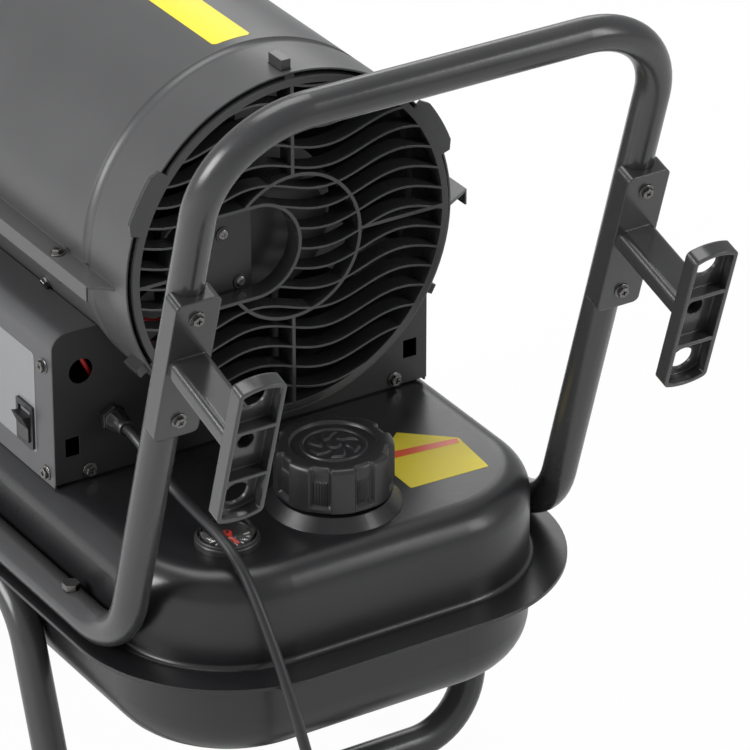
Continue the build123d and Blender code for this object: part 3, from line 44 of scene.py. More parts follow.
# Places on the CAD in mm: +X is the rear, -Y the control panel's side, and Z up from the floor.
MM = 0.001
BARREL_RADIUS, BARREL_AXIS_Z = 116.0, 414.0
HOUSING_SIDE_Y = 136.3
HOUSING_REAR_X = 95.2
TANK_TOP_Z = 256.0
CAP_CENTRE = (200.0, 2.0)
GAUGE_CENTRE, DIAL_Z = (209, -80), 260.5
WHEEL_X, WHEEL_Y, WHEEL_Z = -215, 186.8, 100


def mm(x, y, z):
    return Vector((x, y, z)) * MM


def add_object(name, data):
    obj = bpy.data.objects.new(name, data)
    bpy.context.scene.collection.objects.link(obj)
    return obj


# ------------------------------------------------------------------ camera
# Solved from the photograph's straight edges, circles and verticals.
AZIMUTH, ELEVATION = radians(58.01), radians(28.23)
AIM, DISTANCE, FOCAL_LENGTH = mm(150.0, 63.13, 303.97), 3.3951, 260.17
back = Vector((sin(AZIMUTH) * cos(ELEVATION), -cos(AZIMUTH) * cos(ELEVATION), sin(ELEVATION)))
cam_data = bpy.data.cameras.new("photo_camera")
cam_data.sensor_fit = "HORIZONTAL"
cam_data.sensor_width = 36.0
cam_data.lens = FOCAL_LENGTH
cam_data.clip_start = 0.05
cam_data.clip_end = 60.0
camera = add_object("photo_camera", cam_data)
camera.location = AIM + back * DISTANCE
camera.rotation_mode = "QUATERNION"
camera.rotation_quaternion = (-back).to_track_quat("-Z", "Y")
bpy.context.scene.camera = camera


# ------------------------------------------------------------------ mains cord
def tube(name, points, radius, steps_along, steps_round):
    """Round cord on a NURBS line whose control points are given in mm."""
    curve = bpy.data.curves.new(name, "CURVE")
    curve.dimensions = "3D"
    curve.resolution_u = steps_along
    line = curve.splines.new("NURBS")
    line.points.add(len(points) - 1)
    for point, place in zip(line.points, points):
        point.co = (*mm(*place), 1.0)
    line.order_u = 3
    line.use_endpoint_u = True
    curve.bevel_depth = radius * MM
    curve.bevel_resolution = steps_round
    curve.use_fill_caps = True
    return add_object(name, curve)


# From the gland over the tank's top, down behind the tank and along the floor to the coil.
cord_route = [
    (115.2, -95.9, 295.4), (127.2, -95.9, 295.4), (146, -93, 281), (166, -90.5, 273.5),
    (192, -92.5, 272.8), (224, -94, 272.3), (249, -93.5, 262), (270, -91.5, 237),
    (287, -87.5, 203), (299.5, -82.5, 166), (309, -77, 127), (313.5, -73, 92), (313, -71, 62),
    (308, -66, 34), (296, -55, 12), (279.5, -42, 3.5), (269.75, -24, 3.5), (269.75, -7, 3.5),
]
# The put-away coil, as half turns between (x from its middle, height): they draw in on the floor,
# climb a layer, go out again and end at the plug. The points lie outside the line that they pull.
COIL_X = 222.0
HALF_TURNS = [(47.75, 3.5), (-47.75, 3.5), (40.25, 3.5), (-40.25, 3.5), (32.75, 3.5), (-32.75, 11),
              (40.25, 11), (-40.25, 11), (47.75, 11), (-47.75, 11), (62.75, 18.5)]
PULL = cos(radians(15))
turn_points = []
for number, ((x0, z0), (x1, z1)) in enumerate(zip(HALF_TURNS, HALF_TURNS[1:])):
    middle, reach = COIL_X + (x0 + x1) / 2, (x0 - x1) / 2
    bulge = abs(reach) * (1 if number % 2 == 0 else -1)
    for degrees in range(15, 180, 30):
        a = radians(degrees)
        rise = (1 - cos(a)) / 2
        turn_points.append((middle + reach * cos(a) / PULL, bulge * sin(a) / PULL,
                            z0 + (z1 - z0) * rise))
plug_start = (COIL_X + 62.75, 7.0, 18.5)
cord_points = cord_route + turn_points + [(plug_start[0], 0.0, plug_start[2]), plug_start]
mains_cord = tube("mains_cord", cord_points, 3.5, 10, 5)


# ------------------------------------------------------------------ material helpers
def new_material(name):
    material = bpy.data.materials.new(name)
    material.use_nodes = True
    tree = material.node_tree
    return material, tree, tree.nodes["Principled BSDF"]


def feed(tree, node, inputs):
    """Give each input, by its name or number, a value or a link from another node's output."""
    for key, value in inputs.items():
        if isinstance(value, bpy.types.NodeSocket):
            tree.links.new(value, node.inputs[key])
        else:
            node.inputs[key].default_value = value
    return node


def add_node(tree, kind, inputs):
    return feed(tree, tree.nodes.new(kind), inputs)


def object_place(tree):
    return tree.nodes.new("ShaderNodeTexCoord").outputs["Object"]


def stretched(tree, place, scale):
    return add_node(tree, "ShaderNodeMapping", {"Vector": place, "Scale": scale}).outputs["Vector"]


def noise(tree, place, scale, detail=2.0):
    inputs = {"Vector": place, "Scale": scale, "Detail": detail}
    return add_node(tree, "ShaderNodeTexNoise", inputs).outputs["Fac"]


def from_to(tree, value, to_low, to_high, low=0.0, high=1.0):
    """A value that runs from low to high, made to run from to_low to to_high."""
    inputs = {"Value": value, "From Min": low, "From Max": high,
              "To Min": to_low, "To Max": to_high}
    return add_node(tree, "ShaderNodeMapRange", inputs).outputs["Result"]


def calculate(tree, operation, *values):
    node = tree.nodes.new("ShaderNodeMath")
    node.operation = operation
    return feed(tree, node, dict(enumerate(values))).outputs["Value"]


def mix_colours(tree, share, first, second):
    mix = tree.nodes.new("ShaderNodeMix")
    mix.data_type = "RGBA"
    return feed(tree, mix, {0: share, 6: first, 7: second}).outputs[2]


def bumped(tree, height, strength, distance, normal=None):
    """Normal with the relief of a height, its distance in metres, on top of another normal."""
    inputs = {"Height": height, "Strength": strength, "Distance": distance}
    if normal:
        inputs["Normal"] = normal
    return add_node(tree, "ShaderNodeBump", inputs).outputs["Normal"]


def shade(colour, factor, lift=0.0):
    return (*[min(1, c * factor + lift) for c in colour], 1)


# ------------------------------------------------------------------ materials
GLOSS_SPREAD = 0.05
PEEL_DEPTH, GRAIN_DEPTH = 0.0004, 0.0002


def finish(name, colour, rough, metallic=0.0, spread=0.10, grain=900.0, bump=0.08, peel=0.0,
           peel_scale=260.0, edge=0.0, coat=0.0, streak=(1, 1, 1), specular=0.5, bevel=0.0005):
    """Painted, moulded or metal surface: tone and gloss vary, with fine grain and orange peel."""
    material, tree, shader = new_material(name)
    place = object_place(tree)
    grain_place = stretched(tree, place, streak)
    cloud = noise(tree, grain_place, 14.0, 5.0)
    tone = mix_colours(tree, cloud, shade(colour, 1 - spread), shade(colour, 1 + spread))
    round_edges = add_node(tree, "ShaderNodeBevel", {"Radius": bevel})
    round_edges.samples = 4
    normal = round_edges.outputs["Normal"]
    if peel:
        normal = bumped(tree, noise(tree, place, peel_scale, 1.0), peel, PEEL_DEPTH, normal)
    normal = bumped(tree, noise(tree, grain_place, grain, 3.0), bump, GRAIN_DEPTH, normal)
    if edge:
        # Rounded edges turn the bevelled normal from the flat one: there it is rubbed lighter.
        turn = tree.nodes.new("ShaderNodeVectorMath")
        turn.operation = "DOT_PRODUCT"
        flat = tree.nodes.new("ShaderNodeNewGeometry")
        feed(tree, turn, {0: flat.outputs["Normal"], 1: round_edges.outputs["Normal"]})
        worn = from_to(tree, turn.outputs["Value"], 0.0, edge, low=0.97, high=0.72)
        tone = mix_colours(tree, worn, tone, shade(colour, 2.2, 0.03))
    feed(tree, shader, {
        "Base Color": tone, "Metallic": metallic, "Specular IOR Level": specular,
        "Roughness": from_to(tree, cloud, rough - GLOSS_SPREAD, rough + GLOSS_SPREAD, 0.3, 0.7),
        "Normal": normal, "Coat Weight": coat, "Coat Roughness": 0.15})
    return material


def clear_finish(name):
    """Clear moulded plastic of the gauge's dome, faintly clouded."""
    material, tree, shader = new_material(name)
    cloud = noise(tree, object_place(tree), 60.0)
    feed(tree, shader, {
        "Base Color": mix_colours(tree, cloud, (0.93, 0.94, 0.93, 1), (1, 1, 1, 1)),
        "Roughness": from_to(tree, cloud, 0.02, 0.12),
        "Transmission Weight": 1.0, "IOR": 1.3})
    return material


def chamber_finish(name):
    """Stainless sheet with the straw and blue tints that heat leaves, strongest at the outlet."""
    material, tree, shader = new_material(name)
    place = object_place(tree)
    cloud = noise(tree, place, 22.0, 6.0)
    split = add_node(tree, "ShaderNodeSeparateXYZ", {"Vector": place})
    along = from_to(tree, split.outputs["X"], 0.0, 1.0, low=-0.385, high=-0.16)
    tints = ((0.1, (0.24, 0.225, 0.215, 1)), (0.3, (0.25, 0.255, 0.285, 1)),
             (0.5, (0.36, 0.30, 0.245, 1)), (0.7, (0.48, 0.44, 0.37, 1)),
             (1.0, (0.52, 0.51, 0.49, 1)))
    ramp = add_node(tree, "ShaderNodeValToRGB",
                    {"Fac": calculate(tree, "MULTIPLY_ADD", cloud, 0.45, along)})
    stops = ramp.color_ramp.elements
    stops[0].position, stops[1].position = tints[0][0], tints[-1][0]
    for position, _ in tints[1:-1]:
        stops.new(position)
    for stop, (_, tint) in zip(stops, tints):
        stop.color = tint
    rolled = noise(tree, stretched(tree, place, (4.0, 300.0, 300.0)), 3.0)
    feed(tree, shader, {
        "Base Color": ramp.outputs["Color"], "Roughness": from_to(tree, cloud, 0.28, 0.52),
        "Normal": bumped(tree, rolled, 0.12, GRAIN_DEPTH), "Metallic": 1.0})
    return material


def board_finish(name):
    """Green circuit board with pale tracks and solder points under the varnish."""
    material, tree, shader = new_material(name)
    place = object_place(tree)
    tracks = add_node(tree, "ShaderNodeTexBrick", {
        "Vector": place, "Scale": 60.0, "Mortar Size": 0.035, "Color1": (0.03, 0.12, 0.05, 1),
        "Color2": (0.04, 0.15, 0.06, 1), "Mortar": (0.16, 0.26, 0.08, 1)})
    spots = add_node(tree, "ShaderNodeTexVoronoi", {"Vector": place, "Scale": 260.0})
    solder = from_to(tree, spots.outputs["Distance"], 0.0, 1.0, low=0.16, high=0.12)
    feed(tree, shader, {
        "Base Color": mix_colours(tree, solder, tracks.outputs["Color"], (0.45, 0.46, 0.44, 1)),
        "Roughness": from_to(tree, solder, 0.45, 0.25)})
    return material


# Finish: (colour, roughness, and what differs from a plain finish).
LABEL = {"grain": 700, "bump": 0.05, "bevel": 0.0001}
LOOKS = {
    "barrel_paint": ((0.056, 0.056, 0.057), 0.38,
                     {"peel": 0.10, "peel_scale": 220, "edge": 0.5, "bevel": 0.0008}),
    "housing_paint": ((0.020, 0.020, 0.021), 0.42, {"peel": 0.12, "peel_scale": 240, "edge": 0.5}),
    "panel_face": ((0.060, 0.060, 0.062), 0.44, {"peel": 0.08, "edge": 0.3}),
    "tank_paint": ((0.011, 0.011, 0.012), 0.30,
                   {"peel": 0.12, "peel_scale": 180, "edge": 0.3, "bevel": 0.0008}),
    "frame_paint": ((0.036, 0.036, 0.037), 0.24, {"peel": 0.10, "edge": 0.3}),
    "rim_paint": ((0.014, 0.014, 0.015), 0.34, {"peel": 0.10, "edge": 0.4}),
    "cast_aluminium": ((0.10, 0.10, 0.104), 0.52,
                       {"metallic": 0.9, "grain": 500, "bump": 0.5, "spread": 0.08}),
    "black_steel": ((0.020, 0.020, 0.020), 0.42,
                    {"metallic": 0.2, "grain": 700, "bump": 0.25, "edge": 0.6}),
    "bright_steel": ((0.42, 0.42, 0.43), 0.30,
                     {"metallic": 1.0, "grain": 600, "bump": 0.15, "streak": (1, 6, 6)}),
    "zinc_dark": ((0.16, 0.155, 0.15), 0.30,
                  {"metallic": 1.0, "grain": 700, "bump": 0.2, "edge": 0.5, "bevel": 0.0003}),
    "brass": ((0.68, 0.50, 0.22), 0.30, {"metallic": 1.0, "grain": 500, "bump": 0.2}),
    "graphite": ((0.05, 0.05, 0.052), 0.45, {"metallic": 0.4, "bump": 0.2}),
    "gauge_metal": ((0.035, 0.035, 0.036), 0.30, {"metallic": 0.3, "bump": 0.1, "edge": 0.5}),
    "fan_blades": ((0.008, 0.008, 0.009), 0.55, {"grain": 700, "bump": 0.15}),
    "guard_plastic": ((0.036, 0.036, 0.037), 0.24, {"grain": 1400, "bump": 0.15, "edge": 0.3}),
    "hook_plastic": ((0.034, 0.034, 0.035), 0.20,
                     {"grain": 1500, "bump": 0.10, "edge": 0.3, "bevel": 0.0016}),
    "cap_plastic": ((0.012, 0.012, 0.013), 0.38, {"grain": 1500, "bump": 0.25, "edge": 0.3}),
    "black_plastic": ((0.010, 0.010, 0.011), 0.38, {"grain": 1300, "bump": 0.25, "edge": 0.3}),
    "rocker_plastic": ((0.012, 0.012, 0.013), 0.30, {"grain": 1300, "bump": 0.12}),
    "red_plastic": ((0.55, 0.03, 0.02), 0.30, {"bump": 0.1}),
    "seal_rubber": ((0.018, 0.018, 0.018), 0.65, {"grain": 1200, "bump": 0.3}),
    "cord_rubber": ((0.012, 0.012, 0.013), 0.42, {"grain": 1200, "bump": 0.2, "bevel": 0.0002}),
    "wire_red": ((0.55, 0.02, 0.02), 0.35, {"grain": 1200, "bump": 0.15, "bevel": 0.0002}),
    "hose": ((0.022, 0.022, 0.022), 0.45, {"bump": 0.2}),
    "tyre": ((0.014, 0.014, 0.014), 0.72, {"grain": 800, "bump": 0.6, "spread": 0.2}),
    "porcelain": ((0.72, 0.70, 0.64), 0.22, {"grain": 400, "bump": 0.05, "coat": 0.6}),
    "label_yellow": ((0.84, 0.68, 0.04), 0.42, {**LABEL, "spread": 0.03, "specular": 0.35}),
    "label_red": ((0.80, 0.10, 0.03), 0.34, {**LABEL, "spread": 0.03}),
    "label_grey": ((0.19, 0.19, 0.194), 0.40, {**LABEL, "spread": 0.05}),
    "mark_white": ((0.75, 0.75, 0.74), 0.40, {**LABEL, "spread": 0.03}),
}
finishes = {name: finish(name, colour, rough, **more)
            for name, (colour, rough, more) in LOOKS.items()}
finishes["chamber_steel"] = chamber_finish("chamber_steel")
finishes["clear_plastic"] = clear_finish("clear_plastic")
finishes["board"] = board_finish("board")


def dress(obj, slot):
    obj.data.materials.clear()
    obj.data.materials.append(finishes[slot])


for part in frame["record"]["subparts"]:
    dress(nodes[part["node"]], part["material_slot"])
dress(nodes["frame_bolts"], "zinc_dark")

dress(mains_cord, "cord_rubber")
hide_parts("power_cord", "cord_coil")
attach(mains_cord, "heater")


# ------------------------------------------------------------------ red leads inside
def lead(name, points, radius):
    """Thin insulated wire along given control points."""
    obj = tube(name, points, radius, 8, 4)
    dress(obj, "wire_red")
    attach(obj, "heater")
    return obj


board_lead = lead("board_lead", [
    (46, -64, 268.4), (58, -72, 280), (74, -92, 302), (86, -103, 320), (88.5, -109, 331),
    (87, -114, 342), (78, -117.5, 349.5), (58, -118.5, 350), (30, -118, 346), (8, -114, 332),
    (-4, -104, 300), (-9, -90, 278), (-10, -84, 268.4)], radius=1.6)
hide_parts("motor_wire")
lead("pump_lead", [
    (116.2, -58, 386), (122, -68, 375), (130, -80, 370.8), (130, -95, 379), (126, -98.5, 367),
    (110, -98.5, 364.8), (94, -98.5, 364.8)], radius=2.0)


# ------------------------------------------------------------------ mesh helpers
def piece_from(name, build, slot, body, smooth=True, replaces=()):
    """One mesh piece: build(bm) fills it in metres; it takes a finish and rides on a body."""
    mesh = bpy.data.meshes.new(name)
    bm = bmesh.new()
    build(bm)
    bmesh.ops.remove_doubles(bm, verts=bm.verts, dist=1e-7)
    bmesh.ops.recalc_face_normals(bm, faces=bm.faces)
    bm.to_mesh(mesh)
    bm.free()
    obj = add_object(name, mesh)
    if smooth:
        for face in mesh.polygons:
            face.use_smooth = True
        mesh.set_sharp_from_angle(angle=radians(32))
    mesh.materials.append(finishes[slot])
    if replaces:
        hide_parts(*replaces)
    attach(obj, body)
    return obj


def basis(origin, z_dir, x_hint=(1, 0, 0)):
    """Matrix of a plane: origin in mm, local z along z_dir, local x as near x_hint as it can be."""
    z = Vector(z_dir).normalized()
    x = (Vector(x_hint) - z * Vector(x_hint).dot(z)).normalized()
    matrix = Matrix((x, z.cross(x), z)).transposed().to_4x4()
    matrix.translation = Vector(origin) * MM
    return matrix


def loop(bm, matrix, outline, height):
    """Vertices of an outline in mm at a height over a plane."""
    return [bm.verts.new(matrix @ (Vector((x, y, height)) * MM)) for x, y in outline]


def wall(bm, a, b):
    """Faces between two closed loops with as many vertices each."""
    for i in range(len(a)):
        j = (i + 1) % len(a)
        bm.faces.new((a[i], a[j], b[j], b[i]))


def prism(bm, matrix, outline, low, high):
    """Upright prism over an outline in mm."""
    a, b = loop(bm, matrix, outline, low), loop(bm, matrix, outline, high)
    bm.faces.new(a)
    bm.faces.new(b)
    wall(bm, a, b)


ROUND = 24


def circle(radius, steps=ROUND):
    return [(radius * cos(2 * pi * i / steps), radius * sin(2 * pi * i / steps))
            for i in range(steps)]


def hexagon(radius):
    """Hexagon by its corner radius, with as many points as a circle has."""
    out = []
    for i in range(ROUND):
        a = 2 * pi * i / ROUND
        r = radius * cos(pi / 6) / cos((a % (pi / 3)) - pi / 6)
        out.append((r * cos(a), r * sin(a)))
    return out


def fluted(radius, depth):
    """Circle with every other point drawn in by a depth."""
    return [inner if i % 2 else outer
            for i, (outer, inner) in enumerate(zip(circle(radius), circle(radius - depth)))]


def rounded(points, radius):
    """Outline with its corners rounded in five steps each."""
    out = []
    n = len(points)
    for i in range(n):
        p0, p1, p2 = Vector(points[i - 1]), Vector(points[i]), Vector(points[(i + 1) % n])
        u, v = (p0 - p1).normalized(), (p2 - p1).normalized()
        cut = min(radius / tan(u.angle(v) / 2), 0.45 * (p0 - p1).length, 0.45 * (p2 - p1).length)
        a, b = p1 + u * cut, p1 + v * cut
        for s in range(6):
            t = s / 5
            q = (1 - t) ** 2 * a + 2 * t * (1 - t) * p1 + t ** 2 * b
            out.append((q.x, q.y))
    return out


def lathe(bm, matrix, profile, steps, close_ends=True):
    """Turned solid about local z: profile is (radius, height) in mm, and may end on the axis."""
    rings = []
    for r, h in profile:
        outline = [(r * x, r * y) for x, y in circle(1, steps)] if r else [(0, 0)]
        rings.append(loop(bm, matrix, outline, h))
    for a, b in zip(rings, rings[1:]):
        for i in range(steps):
            j = (i + 1) % steps
            if len(b) == 1:
                bm.faces.new((a[i], b[0], a[j]))
            else:
                bm.faces.new((a[i], b[i], b[j], a[j]))
    if close_ends:
        for ring in (rings[0], rings[-1]):
            if len(ring) > 1:
                bm.faces.new(ring)


def stack(bm, matrix, levels, recess=None):
    """Skin over outlines at their heights; recess (arm, half width, depth) sinks a cross on top."""
    rings = [loop(bm, matrix, outline, height) for outline, height in levels]
    for a, b in zip(rings, rings[1:]):
        wall(bm, a, b)
    bm.faces.new(rings[0])
    if recess is None:
        bm.faces.new(rings[-1])
        return
    arm, half, depth = recess
    top = levels[-1][1]
    cross = [(arm, half), (half, half), (half, arm), (-half, arm), (-half, half), (-arm, half),
             (-arm, -half), (-half, -half), (-half, -arm), (half, -arm), (half, -half),
             (arm, -half)]
    mouth = loop(bm, matrix, cross, top)
    deep = loop(bm, matrix, [(0.75 * x, 0.75 * y) for x, y in cross], top - depth)
    wall(bm, mouth, deep)
    bm.faces.new(deep)
    edges = [bm.edges.get((ring[i], ring[(i + 1) % len(ring)]))
             for ring in (rings[-1], mouth) for i in range(len(ring))]
    bmesh.ops.triangle_fill(bm, use_beauty=True, use_dissolve=False, edges=edges)


# ------------------------------------------------------------------ stickers
SUNK, THICK = 0.02, 0.15


def sticker(name, outline, origin, z_dir, slot, thick=THICK):
    def build(bm):
        prism(bm, basis(origin, z_dir), outline, -SUNK, thick)
    piece_from(name, build, slot, "heater", smooth=False)


def build_barrel_label(bm):
    """Sticker wrapped over the barrel's top, with its corners cut."""
    x0, x1, y0, y1 = -1.0, 94.0, -17.5, 9.0
    corner, columns = 2.0, 12
    a0, a1 = asin(y0 / BARREL_RADIUS), asin(y1 / BARREL_RADIUS)
    rows = []
    for i in range(columns + 1):
        a = a0 + (a1 - a0) * i / columns
        from_edge = min(a - a0, a1 - a) * BARREL_RADIUS
        cut = corner - (max(0.0, corner ** 2 - (corner - min(from_edge, corner)) ** 2)) ** 0.5
        rows.append([[bm.verts.new(mm(x, r * sin(a), BARREL_AXIS_Z + r * cos(a)))
                      for x in (x0 + cut, x1 - cut)]
                     for r in (BARREL_RADIUS - SUNK, BARREL_RADIUS + THICK)])
    for a, b in zip(rows, rows[1:]):
        bm.faces.new((a[1][0], a[1][1], b[1][1], b[1][0]))
        bm.faces.new((a[0][0], b[0][0], b[0][1], a[0][1]))
        for k in (0, 1):
            bm.faces.new((a[0][k], a[1][k], b[1][k], b[0][k]))
    for row in (rows[0], rows[-1]):
        bm.faces.new((row[0][0], row[0][1], row[1][1], row[1][0]))


piece_from("barrel_label", build_barrel_label, "label_yellow", "heater")
tank_label = [(172.6, 51.2), (146.7, 81.2), (173.1, 110.8), (214.3, 106.9), (212.1, 50.7)]
tank_stripe = [(166.7, 66.1), (174.3, 61.2), (178.8, 107.6), (173.3, 109.6)]
panel_label = [(-130, -35), (72, -35), (72, 35), (-130, 35)]
sticker("tank_label", rounded(tank_label, 1.5), (0, 0, TANK_TOP_Z), (0, 0, 1), "label_yellow")
sticker("tank_label_stripe", tank_stripe, (0, 0, TANK_TOP_Z + 0.13), (0, 0, 1), "label_red", 0.08)
sticker("panel_label", rounded(panel_label, 3), (0, -HOUSING_SIDE_Y, 305), (0, -1, 0),
        "label_grey", 0.2)

# ------------------------------------------------------------------ screws
# How far the screws' recesses are turned, one screw after another, in degrees.
TURNS = (12, 47, 71, 28, 5, 63, 38, 19, 55, 82)


def washer_screw(bm, matrix, shank=6.0):
    """Hexagon head on a pressed washer, with a cross recess."""
    stack(bm, matrix, [
        (circle(2.4), -shank), (circle(2.4), 0), (circle(4.75), 0), (circle(5.0), 0.25),
        (circle(5.0), 0.6), (circle(4.7), 0.85), (hexagon(3.95), 0.95), (hexagon(3.95), 3.0),
        (hexagon(3.6), 3.4)], recess=(2.0, 0.55, 1.5))


def long_screw(bm, matrix):
    washer_screw(bm, matrix, shank=9.0)


def pan_screw(bm, matrix):
    """Low domed head with a cross recess."""
    radius, rise, shank = 3.6, 1.0, 1.0
    stack(bm, matrix, [
        (circle(0.5 * radius), -shank), (circle(0.5 * radius), 0), (circle(radius), 0),
        (circle(radius), 0.30 * rise), (circle(0.93 * radius), 0.65 * rise),
        (circle(0.78 * radius), 0.9 * rise), (circle(0.6 * radius), rise)],
        recess=(0.48 * radius, 0.13 * radius, 0.55 * rise))


def screw_set(name, places, build=washer_screw, replaces=(), turns=TURNS):
    """places: (point, outward direction)."""
    def fill(bm):
        for (origin, way), turn in zip(places, turns):
            turned = Matrix.Rotation(radians(turn), 4, "Z")
            build(bm, basis(origin, way, (0.31, 0.17, 0.93)) @ turned)
    piece = piece_from(name, fill, "zinc_dark", "heater", replaces=replaces)


seam_places = [((x, side * 122.90, 410.45), (0, 0, 1))
               for side in (-1, 1) for x in (-280, -100, 82)]
seam_places.append(((69, -112.75, 386.72), (0, -0.972, -0.2351)))
screw_set("seam_screws", seam_places, replaces=("shell_screws",))
screw_set("shell_side_screw", [((33.9, -105.1, 364.9), (0, -0.906, -0.423))], turns=(33,))

side_places = [((x, side * HOUSING_SIDE_Y, z), (0, side, 0))
               for side in (-1, 1) for x in (84.2, -163.8) for z in (262.0, 337.3)]
rear_places = [((HOUSING_REAR_X, side * 112.0, 262.0), (1, 0, 0)) for side in (-1, 1)]
screw_set("plate_screws", side_places + rear_places, replaces=("housing_screws",))

# The hooks are screwed to the handle's tubes, which lean: the foot of their axes, their direction
# seen from the side, and how far from the axes the heads are.
FOOT_X, TUBE_Y, FOOT_Z = 210, 155.5, 205.1
LEAN_X, LEAN_Z = 0.28842, 0.95751
HEADS_OUT = 16
hook_places = [((FOOT_X + up * LEAN_X + HEADS_OUT * LEAN_Z, side * TUBE_Y,
                 FOOT_Z + up * LEAN_Z - HEADS_OUT * LEAN_X), (LEAN_Z, 0, -LEAN_X))
               for side in (-1, 1) for up in (286, 206)]
screw_set("hook_head_screws", hook_places, long_screw, replaces=("hook_screws",))
screw_set("pump_head_screws", [((142.85, -41, 427), (1, 0, 0)), ((142.85, -29, 392), (1, 0, 0))],
          pan_screw, turns=(20, 50))


# ------------------------------------------------------------------ filler cap
def smooth_step(low, high, value):
    t = min(1.0, max(0.0, (value - low) / (high - low)))
    return t * t * (3 - 2 * t)


def build_cap(bm):
    """Closed skin of revolution whose radius and height change with the angle."""
    low, high, ceiling = 267.3, 297.3, 290.3
    bore, round_over = 31.0, 3.0
    side_radius, pad_rise, rib_rise = 34.6, 2.9, 0.9
    dish_radius, dish_floor, motif_rise = 26.8, high - 2.0, 1.1
    columns, dish_rows = 480, 52

    def grip(a, z):
        """Radius of the side: eight smooth pads, between them hollows with five ribs and a foot."""
        turn = (a / (pi / 4) + 0.5) % 1.0 - 0.5
        away = abs(turn) * 45.0
        pad = smooth_step(8.0, 11.5, away)
        foot = 1 - smooth_step(low + 2.2, low + 4.4, z)
        radius = side_radius + pad_rise * max(pad, 0.8 * foot)
        if away < 7.6 and low + 4.4 < z < high - 9.5:
            radius += rib_rise * (0.5 + 0.5 * cos(2 * pi * turn * 45.0 / 3.0))
        over = z - (high - round_over)
        if over > 0:
            radius -= round_over - (round_over ** 2 - over * over) ** 0.5
        return radius

    def dish(a, r):
        """Height in the top's dish: a plain pressed ring and six curved petals round a button."""
        ring = smooth_step(18.6, 19.4, r) * (1 - smooth_step(20.4, 21.2, r))
        petal = ((a + 0.055 * r) / (pi / 3)) % 1.0
        leaf = smooth_step(0.12, 0.26, petal) * (1 - smooth_step(0.62, 0.76, petal))
        leaf *= smooth_step(6.6, 8.4, r) * (1 - smooth_step(15.2, 17.0, r))
        button = 1 - smooth_step(3.6, 5.0, r)
        return dish_floor + motif_rise * max(ring, leaf, button)

    # Each row gives (radius, height) at an angle: inside, up the side, over the rim, in the dish.
    rows = [lambda a, z=z: (bore, z) for z in (ceiling, low)]
    rises = (0, 0.8, 1.6, 2.4, 3.2, 4.2, 4.8, 8, 12, 16, 20, 20.8, 24, 27, 28, 29, 29.6)
    rows += [lambda a, z=z: (grip(a, z), z) for z in [low + rise for rise in rises] + [high]]
    rows += [lambda a, r=r, z=z: (r, z) for r, z in (
        (bore, high), (28.2, high), (27.6, high - 0.4), (dish_radius, dish_floor))]
    rows += [lambda a, r=dish_radius * (1 - k / dish_rows): (r, dish(a, r))
             for k in range(1, dish_rows)]

    rings = []
    for row in rows:
        ring = []
        for i in range(columns):
            a = 2 * pi * i / columns
            r, z = row(a)
            ring.append(bm.verts.new(mm(CAP_CENTRE[0] + r * cos(a), CAP_CENTRE[1] + r * sin(a), z)))
        rings.append(ring)
    for a, b in zip(rings, rings[1:]):
        wall(bm, a, b)
    bm.faces.new(rings[0])
    bm.faces.new(rings[-1])


piece_from("filler_cap", build_cap, "cap_plastic", "cap", replaces=("fuel_cap",))


# ------------------------------------------------------------------ gauge trim
def build_gauge_ring(bm):
    """Metal ring round the foot of the dome."""
    lathe(bm, basis((*GAUGE_CENTRE, 0), (0, 0, 1)), [
        (18.1, 260.9), (19.2, 260.9), (19.4, 261.6), (19.1, 262.4), (18.6, 262.7), (18.1, 262.4),
        (18.1, 260.9)], 72, close_ends=False)


def build_gauge_marks(bm):
    """Nine strokes on the dial, long at the ends and in the middle."""
    outer, half = 13.8, 0.35
    for k in range(9):
        inner = 9.6 if k % 4 == 0 else 11.6
        turned = Matrix.Rotation(radians(-80 + 19 * k), 4, "Z")
        prism(bm, basis((*GAUGE_CENTRE, DIAL_Z), (0, 0, 1)) @ turned,
              [(inner, -half), (outer, -half), (outer, half), (inner, half)], -0.02, 0.12)


piece_from("gauge_clamp_ring", build_gauge_ring, "gauge_metal", "heater")
piece_from("gauge_marks", build_gauge_marks, "mark_white", "heater", smooth=False)


# ------------------------------------------------------------------ cord gland and plug
def build_gland(bm):
    """Hexagon nut on the housing's rear plate, and a fluted sleeve that narrows to the cord."""
    stack(bm, basis((HOUSING_REAR_X, -95.9, 295.4), (1, 0, 0), (0, 0, 1)), [
        (circle(6.4), -7), (circle(6.4), -0.05), (hexagon(8.6), 0.0), (hexagon(9.0), 0.5),
        (hexagon(9.0), 4.4), (hexagon(8.5), 4.9), (circle(7.2), 5.0), (circle(7.2), 5.6),
        (circle(7.75), 5.9), (circle(7.75), 6.8), (fluted(7.6, 0.45), 7.2),
        (fluted(7.2, 0.5), 9.5), (fluted(6.6, 0.5), 12.5), (fluted(6.0, 0.4), 15.5),
        (circle(5.55), 17.0), (circle(5.4), 19.0), (circle(5.0), 19.8), (circle(3.7), 20.0),
        (circle(3.6), 18.0)])


